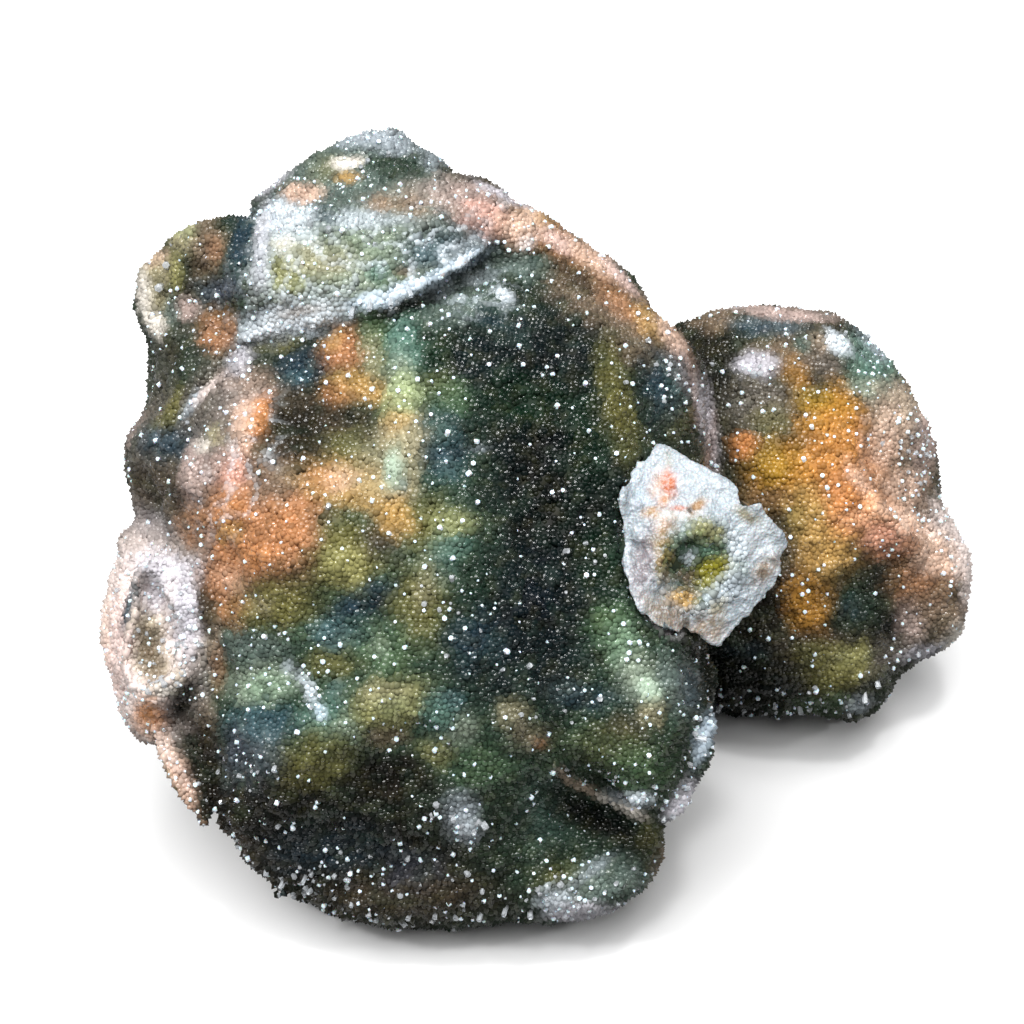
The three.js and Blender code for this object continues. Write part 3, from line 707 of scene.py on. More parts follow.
    ("amber", (31.5, 4.4), (4.8, 4.1), 0, 0.95),
    ("olive yellow", (29.9, 5.8), (2.8, 3.0), 0, 0.3),
    ("brown", (29.9, 1.8), (3.0, 1.8), 0, 0.4),
    ("orange", (26.7, 7.6), (1.7, 1.4), 0, 0.95),
    ("orange", (38.4, 5.8), (4.8, 4.6), 0, 0.7),
    ("amber", (37.3, 7.1), (3.0, 2.3), 0, 0.4),
    ("beige", (44.6, 11.0), (3.9, 4.6), -16, 0.8),
    ("salmon", (42.8, 8.1), (2.5, 3.9), -20, 0.6),
    ("dusty pink", (47.6, 8.3), (1.6, 7.1), -12, 0.85),
    ("brown", (46.0, 3.7), (2.5, 4.1), -10, 0.6),
    ("orange", (40.0, 0.0), (4.6, 2.8), -20, 0.95),
    ("salmon", (40.9, 2.3), (1.0, 4.6), 34, 0.6),
    ("orange", (41.2, 1.2), (1.6, 1.8), 0, 0.4),
    ("salmon", (39.6, -1.2), (2.5, 1.4), 0, 0.5),
    ("salmon", (46.3, -1.6), (4.4, 1.3), -30, 0.95),
    ("rust", (42.8, -3.2), (3.9, 2.1), 0, 0.9),
    ("red", (42.8, -3.0), (3.2, 1.7), 0, 0.45),
    ("rust brown", (46.7, -8.3), (3.0, 3.5), -10, 0.9),
    ("salmon", (44.9, 2.3), (3.0, 2.3), -24, 0.5),
    ("pale pink", (49.7, -0.9), (2.1, 3.0), 0, 0.6),
    ("ochre", (34.0, -0.5), (2.5, 3.9), 0, 0.8),
    ("olive", (32.9, -0.9), (1.4, 2.5), 0, 0.5),
    ("ochre", (36.3, -4.6), (3.5, 3.9), 0, 0.95),
    ("orange", (38.4, -1.8), (2.1, 2.3), 0, 0.5),
    ("amber", (33.8, -10.8), (2.8, 3.9), 14, 0.85),
    ("salmon", (48.5, -5.5), (2.5, 2.3), 0, 0.9),
    ("pale pink", (51.1, -3.9), (1.4, 3.9), -4, 0.9),
    ("pale pink", (52.0, -10.1), (1.4, 5.3), -4, 0.95),
    ("dark green", (40.1, -10.3), (4.4, 4.1), 0, 1),
    ("dark earth", (41.4, -7.4), (2.3, 1.6), 0, 0.6),
    ("black", (43.2, -13.1), (1.7, 2.1), 0, 0.85),
    ("steel dark", (39.1, -10.8), (1.8, 1.6), 0, 0.5),
    ("dusty pink", (45.5, -12.9), (1.4, 3.0), 10, 0.6),
    ("brown", (48.5, -11.5), (2.8, 2.8), 0, 0.9),
    ("cream", (50.4, -14.3), (1.6, 1.8), 20, 0.8),
    ("lilac", (47.1, -16.1), (2.1, 1.0), 24, 0.8),
    ("dark earth", (29.0, -10.3), (2.5, 4.1), 0, 0.9),
    ("umber", (33.6, -15.4), (3.9, 2.1), 0, 0.8),
    ("olive", (34.5, -16.1), (2.8, 1.4), 0, 0.5),
    ("moss", (38.9, -17.7), (3.7, 2.1), 0, 0.8),
    ("olive", (36.8, -19.3), (4.1, 1.8), 0, 0.7),
    # Painted shadow: these two black blotches fill the cleft between the dome and the right lobe,
    # low down.
    ("black", (26.0, -20.0), (5.5, 5.3), 0, 1),
    ("black", (30.8, -20.5), (3.0, 3.5), 0, 0.7),
    ("steel dark", (26.7, -15.9), (3.5, 1.0), 0, 0.5),
    ("forest", (36.3, -21.9), (3.9, 1.2), 0, 0.6),
    ("grey brown", (44.2, -16.6), (2.8, 2.1), 0, 0.8),
    ("ice grey", (41.2, -22.1), (2.8, 0.9), 10, 0.6),
]
print("blotches", len(BLOTCHES))

# %% Find places on the face and in noise
UP_FACE = (0, math.sin(LEAN), math.cos(LEAN))
INNER, OUTER = 0.35, 1.4
NOISE_AXIS, NOISE_TURN, FIRST_TURN, NOISE_SHIFT = (2, 1, 3), 1.7, 0.6, (7.3, 3.1, 5.7)


def on_face(across, into, up):
    """A place given in mm on the leaning face, in metres of the part."""
    return FACE_MIDDLE + (Vector((across, 0, 0)) - to_viewer * into + Vector(UP_FACE) * up) * MM


def face_places(places):
    """Places as seen by one who looks straight at the face: across and up in mm."""
    away = (places - np.array(FACE_MIDDLE)) / MM
    into = -away @ np.array(to_viewer)
    far = 1 + into / (DISTANCE / MM)
    return away[:, 0] / far, away @ np.array(UP_FACE) / far


def in_oval(x, y, middle, half, turn):
    """1 well inside a turned oval, 0 well outside it."""
    c, s = math.cos(math.radians(turn)), math.sin(math.radians(turn))
    u, v = x - middle[0], y - middle[1]
    away = np.hypot((u * c + v * s) / half[0], (v * c - u * s) / half[1])
    return 1 - ramp(away, INNER, OUTER)


def dense_at(places, ovals):
    """How dense a list of ovals is at each place. They add up where they overlap."""
    x, y = face_places(places)
    return sum(dense * in_oval(x, y, middle, half, turn) for middle, half, turn, dense in ovals)


def noise_at(places, size, seed):
    """Smooth noise at each place, about -1 to 1, with lumps of a size in mm.

    The grid behind it is turned for each seed, or its straight lines would show.
    """
    turn = np.array(Matrix.Rotation(NOISE_TURN * seed + FIRST_TURN, 3, Vector(NOISE_AXIS)))
    shift = np.array(NOISE_SHIFT) * seed
    return np.array([noise.noise(p) for p in places @ turn / (size * MM) + shift])


print("top of the face in mm", [round(x / MM, 1) for x in on_face(0, 0, 50)])

# %% Lay the blotches over a piece
FULLY_BENT = 2.4
BENDS = ((1.3, 7), (1.4, 2.2))
COPIES, SHREDS, LEAST_SEEN = 3, 1.3, 0.05


def over(colour, name, cover):
    """A colour of the palette laid over others, whole where its cover is 1."""
    return colour * (1 - cover[:, None]) + PALETTE[name] * cover[:, None]


def laid(blotches, ground, x, y, sideways, upright):
    """The colours of a list of blotches over a ground colour. Narrow ones are bent less."""
    colour = np.tile(PALETTE[ground], (len(x), 1))
    for name, middle, half, turn, dense in blotches:
        bend = min(1, min(half) / FULLY_BENT)
        inside = in_oval(x + bend * sideways, y + bend * upright, middle, half, turn)
        colour = over(colour, name, dense * inside)
    return colour


def bent(places, seed):
    """How far noise bends an outline at each place, in mm: wide bends and narrow ones."""
    return sum(far * noise_at(places, size, seed + 5 * i) for i, (far, size) in enumerate(BENDS))


def front_colours(places, blotches, ground):
    """Blotches with ragged edges: three bent copies of them, mixed by fine noise."""
    x, y = face_places(places)
    colour = total = 0
    for seed in range(COPIES):
        weight = ramp(noise_at(places, SHREDS, seed + 30), -0.35, 0.35)[:, None] + LEAST_SEEN
        copy = laid(blotches, ground, x, y, bent(places, seed), bent(places, seed + 10))
        colour = colour + weight * copy
        total = total + weight
    return colour / total


# %% [markdown]
# Round the sides and behind, the same colours go on in broad cloudy patches.

# %% Colour the sides and the back
BEHIND = (
    ("grey green", 22, 0.05), ("blue black", 16, 0.0), ("umber", 18, 0.08), ("olive", 12, 0.2),
    ("rust brown", 24, 0.22), ("rust", 14, 0.38), ("dusty pink", 20, 0.3), ("teal dark", 9, 0.15),
    ("steel dark", 7, 0.25), ("ice grey", 12, 0.42),
)


def back_colours(places):
    """Patches of noise, one colour after the other, each with its size and its rarity."""
    colour = np.tile(PALETTE["dark green"], (len(places), 1))
    for seed, (name, size, rare) in enumerate(BEHIND):
        field = noise_at(places, size, 40 + seed) + 0.35 * noise_at(places, size / 4, 60 + seed)
        colour = over(colour, name, 0.85 * ramp(field, rare - 0.2, rare + 0.22))
    return colour


VEINED = [
    ((-20.5, 27.6), (12.5, 6.4), 18, 0.35), ((-7.5, 30.5), (6.0, 3.4), 20, 0.5),
    ((-3.5, 25.0), (4.5, 3.4), 0, 0.3), ((-31.0, 4.5), (3.4, 9.0), -24, 0.3),
]
SPECKS = (("umber", 1.7, 0.12), ("bottle green", 2.3, 0.18), ("olive", 1.3, 0.1))
VEIN_SIZE = 2.6


def mottled(places, colour):
    """Lays specks over the darker colours, and thin pale veins in a few places."""
    dull = 1 - np.minimum(colour.mean(axis=1) * 2.2, 1)
    for seed, (name, size, dense) in enumerate(SPECKS):
        colour = over(colour, name, dull * dense * ramp(noise_at(places, size, 80 + seed), 0, 0.45))
    thin = ramp(1 - np.abs(noise_at(places, VEIN_SIZE, 60)), 0.84, 0.96)
    return over(colour, "ice", thin * np.minimum(dense_at(places, VEINED), 1))


def brightened(tint):
    """The points shade each other, so all but the palest tones are laid on brighter."""
    return tint * (1.1 + 0.22 * ramp(tint, 0, 0.08) - 0.42 * np.clip(tint, 0, 1))


def store(piece, name, kind, domain, values):
    """Keeps values in an attribute of a piece, one for each vertex or face."""
    layer = piece.data.attributes.new(name, kind, domain)
    values = values.astype(np.int32 if kind == "INT" else np.float32)
    layer.data.foreach_set("color" if kind == "FLOAT_COLOR" else "value", values.ravel())


def paint(piece, blotches, ground):
    """Keeps the colours of a piece in its attribute, tint."""
    places = read(piece.data.vertices, "co")
    normals = read(piece.data.vertex_normals, "vector")
    front = ramp(normals @ np.array(to_viewer), -0.4, 0.0)[:, None]
    tint = mottled(places, front_colours(places, blotches, ground)) * front
    tint += back_colours(places) * (1 - front)
    tint *= 1 + 0.3 * noise_at(places, 1.4, 9)[:, None]
    tint = np.c_[np.clip(brightened(tint), 0, 1), np.ones(len(tint))]
    store(piece, "tint", "FLOAT_COLOR", "POINT", tint)
    print(piece.name, "mean colour", tint.mean(axis=0).round(3)[:3])


paint(stone, BLOTCHES, "dark green")

# %% [markdown]
# ## The flake of broken quartz
# Between the two large lobes stands a flake of pale quartz with two broken facets and a
# hollow. Broken quartz has no coat. The flake is cut out of a copy of the solid along its
# outline and remeshed more finely, so that its edges are sharp, and the stone behind it is
# drawn in.

# %% Cut out the flake
FLAKE = [
    (15.7, -17, 8), (20.5, -16, 5.2), (23.7, -15, 2.4), (29.2, -14, -0.8), (30, -14, -2.5),
    (28.3, -15, -8.7), (22.2, -17, -14.8), (19.7, -18, -13.3), (14.6, -19, -8.8),
    (13.1, -19, -5.3), (12.7, -19, 1.3), (13.2, -18, 3.6),
]
DRAFT, BACK, KERF = 0.4, -12.5, 0.1
FLAKE_VOXEL = 0.26 * MM
NOTCH, NOTCH_RADIUS, NOTCH_DEPTH = (26.2, -13.5, 2.2), 1.7 * MM, 12 * MM
BROKEN = {"ledges": (3.2, 0.9, 0.5), "steps": (1.2, 0.5, 0.5), "splinters": (0.5, 0.25, 0.5)}


def sides_of(outline):
    """The planes round an outline on the face: a place and the way out for each."""
    planes = [(on_face(0, BACK, 0), -to_viewer)]
    for (across, into, up), (next_across, _, next_up) in zip(outline, outline[1:] + outline[:1]):
        way = Vector((up - next_up, 0, next_across - across))
        out = on_face(way.x, DRAFT * way.length, way.z) - on_face(0, 0, 0)
        out.normalize()
        planes.append((on_face(across, into, up) + out * KERF * MM, out))
    return planes


def pointing(way):
    """The turn, as a matrix, that points the Z axis some way."""
    return way.to_track_quat("Z", "Y").to_matrix().to_4x4()


select_only(flake)
bpy.ops.object.mode_set(mode="EDIT")
for place, out in sides_of(FLAKE):
    bpy.ops.mesh.select_all(action="SELECT")
    bpy.ops.mesh.bisect(plane_co=place, plane_no=out, use_fill=True, clear_outer=True)
bpy.ops.object.mode_set(mode="OBJECT")
apply_modifier(flake, "REMESH", mode="VOXEL", voxel_size=FLAKE_VOXEL)
bpy.ops.mesh.primitive_cone_add(
    vertices=5, radius1=NOTCH_RADIUS, radius2=NOTCH_RADIUS, depth=NOTCH_DEPTH
)
wedge = bpy.context.active_object
wedge.data.transform(Matrix.Translation(on_face(*NOTCH)) @ pointing(to_viewer))
apply_modifier(flake, "BOOLEAN", object=wedge, operation="DIFFERENCE", solver="EXACT")
bpy.data.objects.remove(wedge)
soften(flake, rounds=12, reach=1.2)
roughen(flake, BROKEN)
print("flake vertices", len(flake.data.vertices))

# %% [markdown]
# Three flanks and the foot of the dome stand out further to one side on the real stone than
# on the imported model, and two flanks less.

# %% Swell the flanks
SWELLS = [
    ((-42.5, 3.7), (6, 7), 0, -2.4), ((-43.4, 15.6), (5, 5.5), 0, 1.7),
    ((51.0, -9.0), (6, 8), 0, 1.2), ((-28.4, -40.2), (4, 8.5), 35, -2.9),
    ((-8, -50), (22, 8), 0, -2.5), ((46.0, -21.0), (6.5, 5), 0, -2.4),
]


def swelled(places):
    """The places moved sideways, each by its share of the swells."""
    moved = places.copy()
    moved[:, 0] += dense_at(places, SWELLS) * MM
    return moved


move_to(stone, swelled(read(stone.data.vertices, "co")))
print("swells", len(SWELLS))

# %% Draw the stone in behind it
DRAWN_IN = 0.7


def behind_flake(places, margin):
    """Which places lie inside the outline of the flake, grown by a margin in mm."""
    inside = np.ones(len(places), bool)
    for place, out in sides_of(FLAKE):
        inside &= (places - np.array(place)) @ np.array(out) < margin * MM
    return inside


places = read(stone.data.vertices, "co")
normals = read(stone.data.vertex_normals, "vector")
drawn = behind_flake(places, margin=0.25)
places[drawn] -= normals[drawn] * DRAWN_IN * MM
move_to(stone, places)
stone.data.update()
print("vertices drawn in", drawn.sum())

# %% Paint the flake
ON_FLAKE = [
    ("ice", (19.5, 3.4), (4.6, 3.4), -35, 0.3),
    ("ice blue", (15.4, 3.0), (2.0, 5.0), 8, 0.6),
    ("khaki", (18.0, 6.0), (0.5, 1.4), 10, 0.5),
    ("salmon", (17.6, 2.6), (1.7, 2.2), 10, 0.8),
    ("vermilion", (18.4, 3.2), (1.0, 1.5), 10, 1),
    ("orange", (17.3, 1.4), (0.9, 0.9), 0, 0.9),
    ("cream", (18.6, -0.4), (3.6, 0.7), 0, 0.9),
    ("amber", (16.0, 0.1), (1.3, 0.7), 0, 1),
    ("vermilion", (19.2, 0.5), (1.0, 0.35), 0, 1),
    ("amber", (21.3, 0.8), (1.5, 0.8), 35, 0.9),
    ("dark earth", (20.5, 0.3), (0.45, 0.45), 0, 0.9),
    ("salmon", (17.6, -1.6), (1.8, 1.0), -10, 0.95),
    ("lilac grey", (15.0, -5.8), (1.5, 5.0), -10, 1),
    ("ochre", (17.4, -4.8), (1.3, 3.4), 0, 1),
    ("deep green", (21.4, -4.6), (4.6, 4.2), -10, 1),
    ("deep green", (19.4, -7.2), (2.4, 3.6), 0, 1),
    ("forest", (21.8, -3.4), (3.2, 1.6), -8, 0.6),
    ("teal", (21.5, -4.6), (1.8, 1.1), 0, 0.6),
    ("ice", (20.4, -5.2), (0.9, 0.8), 0, 0.8),
    ("moss", (22.8, -2.0), (2.6, 1.3), -15, 0.8),
    ("brown", (20.2, -7.6), (1.4, 1.2), 0, 0.8),
    ("olive yellow", (23.2, -6.8), (2.3, 1.8), 10, 1),
    ("olive yellow", (22.2, -8.6), (1.6, 1.0), 0, 0.8),
    ("ochre", (19.4, -10.0), (2.4, 1.1), -10, 0.9),
    ("deep green", (21.5, -10.4), (1.1, 0.9), 0, 0.8),
    ("ice", (26.0, -4.4), (1.2, 4.4), -8, 0.6),
    ("khaki", (27.4, -0.6), (2.6, 0.8), -32, 0.9),
    ("ice", (28.6, -2.6), (1.5, 2.6), -20, 0.8),
    ("sage", (26.3, -6.6), (1.4, 1.6), 0, 0.6),
    ("beige", (29.2, -6.6), (1.1, 2.6), -36, 1),
    ("brown", (28.8, -7.2), (0.7, 2.0), -36, 0.6),
    ("ice grey", (26.2, -9.2), (1.4, 2.8), -36, 0.7),
    ("khaki", (23.6, -11.6), (1.2, 2.0), -36, 0.8),
    ("beige", (17.4, -11.8), (3.4, 1.5), -34, 1),
    ("beige", (22.0, -13.4), (2.8, 1.8), 0, 1),
    ("brown", (20.0, -12.4), (1.6, 0.7), 0, 0.8),
    ("grey brown", (19.2, -11.9), (3.4, 1.3), -30, 0.35),
    ("grey brown", (16.6, -7.8), (1.2, 2.0), 0, 0.3),
]
paint(flake, ON_FLAKE, "frost")

# %% [markdown]
# ## Materials
# Sums on a socket are written as Python sums. Each adds a Math node, so the formula of a
# finish can be read in one line.

# %% A socket that can be reckoned with
class Socket:
    """An output of a node. Sums and products on it add Math nodes to its tree."""

    def __init__(self, tree, output=None):
        self.tree = tree
        self.output = output

    def node(self, kind, settings=None, inputs=None, take=0):
        """Adds any other node: its settings first, then its inputs, linked or filled.

        What comes back is its output of the number or name to take.
        """
        made = self.tree.nodes.new(kind)
        for name, value in (settings or {}).items():
            setattr(made, name, value)
        for name, value in (inputs or {}).items():
            if isinstance(value, Socket):
                self.tree.links.new(value.output, made.inputs[name])
            else:
                made.inputs[name].default_value = value
        return Socket(self.tree, made.outputs[take] if made.outputs else None)

    def into(self, socket):
        """Links this output to an input of another node."""
        self.tree.links.new(self.output, socket)

    def maths(self, operation, a, b):
        return self.node("ShaderNodeMath", {"operation": operation}, {0: a, 1: b})

    def __add__(self, other):
        return self.maths("ADD", self, other)

    def __sub__(self, other):
        return self.maths("SUBTRACT", self, other)

    def __rsub__(self, other):
        return self.maths("SUBTRACT", other, self)

    def __mul__(self, other):
        return self.maths("MULTIPLY", self, other)

    def __gt__(self, other):
        return self.maths("GREATER_THAN", self, other)

    __radd__, __rmul__ = __add__, __mul__


def blend(start, a, b, factor):
    """Mixes two colours by a factor."""
    return start.node("ShaderNodeMix", {"data_type": "RGBA"}, {0: factor, 6: a, 7: b}, take=2)


def new_material(name, **values):
    """A material whose shader has these values all over. Returns it, its shader and a start."""
    material = bpy.data.materials.new(name)
    material.use_nodes = True
    shader = material.node_tree.nodes["Principled BSDF"]
    for socket, value in values.items():
        shader.inputs[socket.replace("_", " ")].default_value = value
    return material, shader, Socket(material.node_tree)


def attribute(start, name, take=0):
    """What an attribute keeps at each place: a colour, or a number with take=2."""
    return start.node("ShaderNodeAttribute", {"attribute_name": name}, take=take)


# %% [markdown]
# Chalcedony is waxy and has little gloss. The coat is clear quartz in truth, but light that
# is passed on through millions of facets would take long to render, so each of its points
# has the colour of the stone under it. A number that is kept for each point, its tone, makes
# some of them dark and rough and others bright and glossy.

# %% The chalcedony between the points
DUST = (0.01, 0.01, 0.01, 1)
chalcedony, shader, start = new_material("chalcedony", IOR=1.54, Specular_IOR_Level=0.15)
where = start.node("ShaderNodeTexCoord", take="Object")
cloud = start.node("ShaderNodeTexNoise", None, {"Vector": where, "Scale": 900.0, "Detail": 3.0})
blend(start, attribute(start, "tint"), DUST, cloud * 0.3).into(shader.inputs["Base Color"])
(cloud * 0.3 + 0.35).into(shader.inputs["Roughness"])
cover_with(stone, chalcedony)

# %% The drusy quartz
DEPTH = (0.003, 0.006, 0.005, 1)
quartz, shader, start = new_material(
    "drusy quartz", IOR=1.544, Specular_IOR_Level=0.1, Coat_IOR=1.544, Coat_Roughness=0.1
)
tint_here, tone = attribute(start, "tint"), attribute(start, "tone", take=2)
pale = start.node("ShaderNodeRGBToBW", None, {"Color": tint_here})
shade = blend(start, tint_here, DEPTH, (0.5 - tone * 0.6) * (1 - pale * 0.6))
shade.into(shader.inputs["Base Color"])
((tone > 0.5) * tone).into(shader.inputs["Coat Weight"])
(0.36 - tone * 0.28).into(shader.inputs["Roughness"])

# %% [markdown]
# Broken quartz looks like sugar: cells of noise in a bump give its grain, and pale veins run
# through it. Only the few large points are see-through or milky.

# %% Broken and clear quartz
SHADOW, VEIN = (0.02, 0.02, 0.02, 1), (0.72, 0.76, 0.8, 1)
fracture, shader, start = new_material(
    "broken quartz", IOR=1.544, Roughness=0.32, Subsurface_Weight=0.2, Subsurface_Scale=0.001
)
where = start.node("ShaderNodeTexCoord", take="Object")
veins = {"Vector": where, "Scale": 1100.0, "Detail": 5.0, "Distortion": 0.6}
veins = start.node("ShaderNodeTexNoise", None, veins)
colour = blend(start, attribute(start, "tint"), SHADOW, 0.36)
blend(start, colour, VEIN, veins * 2.0 - 0.9).into(shader.inputs["Base Color"])
sugar = start.node("ShaderNodeTexVoronoi", None, {"Vector": where, "Scale": 2600.0})
bump = start.node("ShaderNodeBump", None, {"Strength": 0.8, "Distance": 0.0002, "Height": sugar})
bump.into(shader.inputs["Normal"])
cover_with(flake, fracture)

clear, shader, start = new_material(
    "clear quartz", Base_Color=(0.86, 0.9, 0.94, 1), Roughness=0.04, IOR=1.544,
    Transmission_Weight=0.6,
)
haze = {"Color": (0.8, 0.88, 0.9, 1), "Density": 60.0}
haze = start.node("ShaderNodeVolumeAbsorption", None, haze)
haze.into(clear.node_tree.nodes["Material Output"].inputs["Volume"])
milky, _, _ = new_material(
    "milky quartz", Base_Color=(0.84, 0.92, 1, 1), Roughness=0.12, IOR=1.544,
    Subsurface_Weight=0.3, Subsurface_Scale=0.001,
)
print("materials", [material.name for material in bpy.data.materials])

# %% [markdown]
# ## The coat of quartz points
# A point of drusy quartz shows only its tip. Three forms are modelled, tips of six and five
# faces, each a little out of true and shaded smooth, because points this small look worn.
# Geometry Nodes strews them over the stone at even distances, turns and tips each at
# random, and makes them real mesh. They are wide enough for neighbours to run into each
# other, as the real ones did when they grew.

# %% Model the forms of tip
def quartz_tip(name, sides, lean):
    """A closed pyramid one unit wide where it leaves the surface, its base below that."""
    bpy.ops.object.select_all(action="DESELECT")
    bpy.ops.mesh.primitive_cone_add(
        vertices=sides, radius1=0.9, radius2=0, depth=0.9, location=(0, 0, 0.05),
    )
    tip = bpy.context.active_object
    tip.name = name
    tip.data.transform(Matrix.Shear("XY", 4, (lean, lean * 0.4)))
    bpy.ops.object.transform_apply(location=True, rotation=True, scale=True)
    bpy.ops.object.shade_smooth()
    tip.data.uv_layers[0].name = "OFBake"
    return tip


tips_of_coat = [
    quartz_tip("six-sided tip", 6, 0.15), quartz_tip("five-sided tip", 5, -0.12),
    quartz_tip("leaning tip", 5, 0.25),
]
print("faces a tip", [len(tip.data.polygons) for tip in tips_of_coat])

# %% [markdown]
# The coat is grown in parts, each from the faces of the stone nearest to one place, so that
# no piece has more triangles than the export takes. A part can be a little taller or lower
# than the others. Nothing grows on the ground or where the flake stands, and the hollow of
# the flake has a small part of its own.

# %% Share the stone out among the parts of the coat
COAT = {
    "upper_dome": ((-12, -20, 55), 1), "lower_dome": ((-10, -36, 18), 1.25),
    "left": ((-42, -4, 38), 0.95), "right_lobe": ((34, 12, 45), 1),
    "right_foot": ((34, 14, 10), 1.1), "crown": ((-20, 14, 72), 1), "back": ((-10, 34, 24), 1.1),
}
BARE, POCKET_PART = -1, 20
UNDERSIDE = -0.7
centres = read(stone.data.polygons, "center")
facings = read(stone.data.polygons, "normal")
middles = np.array([middle for middle, tall in COAT.values()]) * MM
nearest = np.linalg.norm(centres[:, None] - middles, axis=2).argmin(axis=1)
lowest = np.where(facings[:, 2] < UNDERSIDE, 0.5, 0.25) * MM
nearest[(centres[:, 2] < lowest) | behind_flake(centres, margin=0.1)] = BARE


def share_out(piece, shares):
    """Keeps for each face which part of the coat grows on it, or that it is bare."""
    store(piece, "share", "INT", "FACE", shares)
    print(piece.name, "faces a part", np.bincount(shares + 1))


share_out(stone, nearest)
POCKET, POCKET_RADIUS = on_face(21.3, -20.8, -6.3), 5.6 * MM
from_pocket = np.linalg.norm(read(flake.data.polygons, "center") - np.array(POCKET), axis=1)
share_out(flake, np.where(from_pocket < POCKET_RADIUS, POCKET_PART, BARE))

# %% [markdown]
# Here and there points grew large enough to tell apart: along the lower edge, round the
# vug, on the lips and in a few clusters. Ovals on the face say where they are dense.

# %% Say where large points are dense
RICH = [
    ((-18.6, -42.9), (18.4, 4.6), 0, 0.5),
    ((-31.3, -33.1), (6.9, 5.8), -45, 0.35),
    ((6.7, -44.0), (5.8, 3.0), 0, 0.9),
    ((-6.6, -36.3), (4.1, 2.1), -25, 1),
    ((-27.8, -13.8), (2.8, 1.2), 0, 0.9),
    ((-8.1, -11.5), (2.1, 1.6), 0, 0.9),
    ((-21.6, -41.9), (1.8, 1.4), 0, 1),
    ((-23.0, -20.9), (0.9, 3.9), -28, 0.8),
    ((-37.3, -14.7), (1.6, 6.9), 0, 0.9),
    ((-41.1, -15.9), (2.1, 4.6), 0, 0.9),
    ((12.4, -29.9), (2.5, 1.6), 0, 1),
    ((17.9, 15.8), (1.6, 3.0), 0, 0.9),
    ((18.4, -33.1), (3.0, 2.5), 0, 0.8),
    ((21.6, -26.2), (1.4, 4.6), 0, 0.7),
    ((-26.5, 33.4), (3.9, 2.3), 0, 0.5),
    ((-15.2, 43.0), (6.9, 1.8), 0, 0.5),
    ((9.0, -3.8), (3.0, 2.3), 0, 0.7),
    ((46.0, 4.8), (1.8, 4.6), 0, 0.7),
    ((33.1, -22.2), (10.3, 2.1), 0, 0.6),
    ((5.5, -20.5), (6.9, 3.5), 0, 0.35),
    ((-4.8, 4.8), (1.2, 3.5), 0, 0.3),
    ((-3.7, -14.7), (4.6, 4.6), 0, 0.35),
    ((-7.3, -10.0), (3.4, 3.2), 0, 0.4),
]
places = read(stone.data.vertices, "co")
green = read(stone.data.attributes["tint"].data, "color", 4)[:, 1]
rich = dense_at(places, RICH)
# How dense the bright points stand: denser where large points are rich and where the tint is
# lighter.
bright = 0.2 + 0.3 * noise_at(places, 7, 70) + 0.3 * noise_at(places, 2.5, 71) + 0.6 * rich
bright = bright + 1.2 * np.minimum(green, 0.5)
for name, density in (("rich", 0.012 + rich), ("bright", bright)):
    density = np.clip(density, 0.01, 1)
    store(stone, name, "FLOAT", "POINT", density)
    print("mean density", name, density.mean().round(3))

# %% Grow points with Geometry Nodes
CELLS = 128
ALL_PARTS = -1
FULL_TURN = 6.28


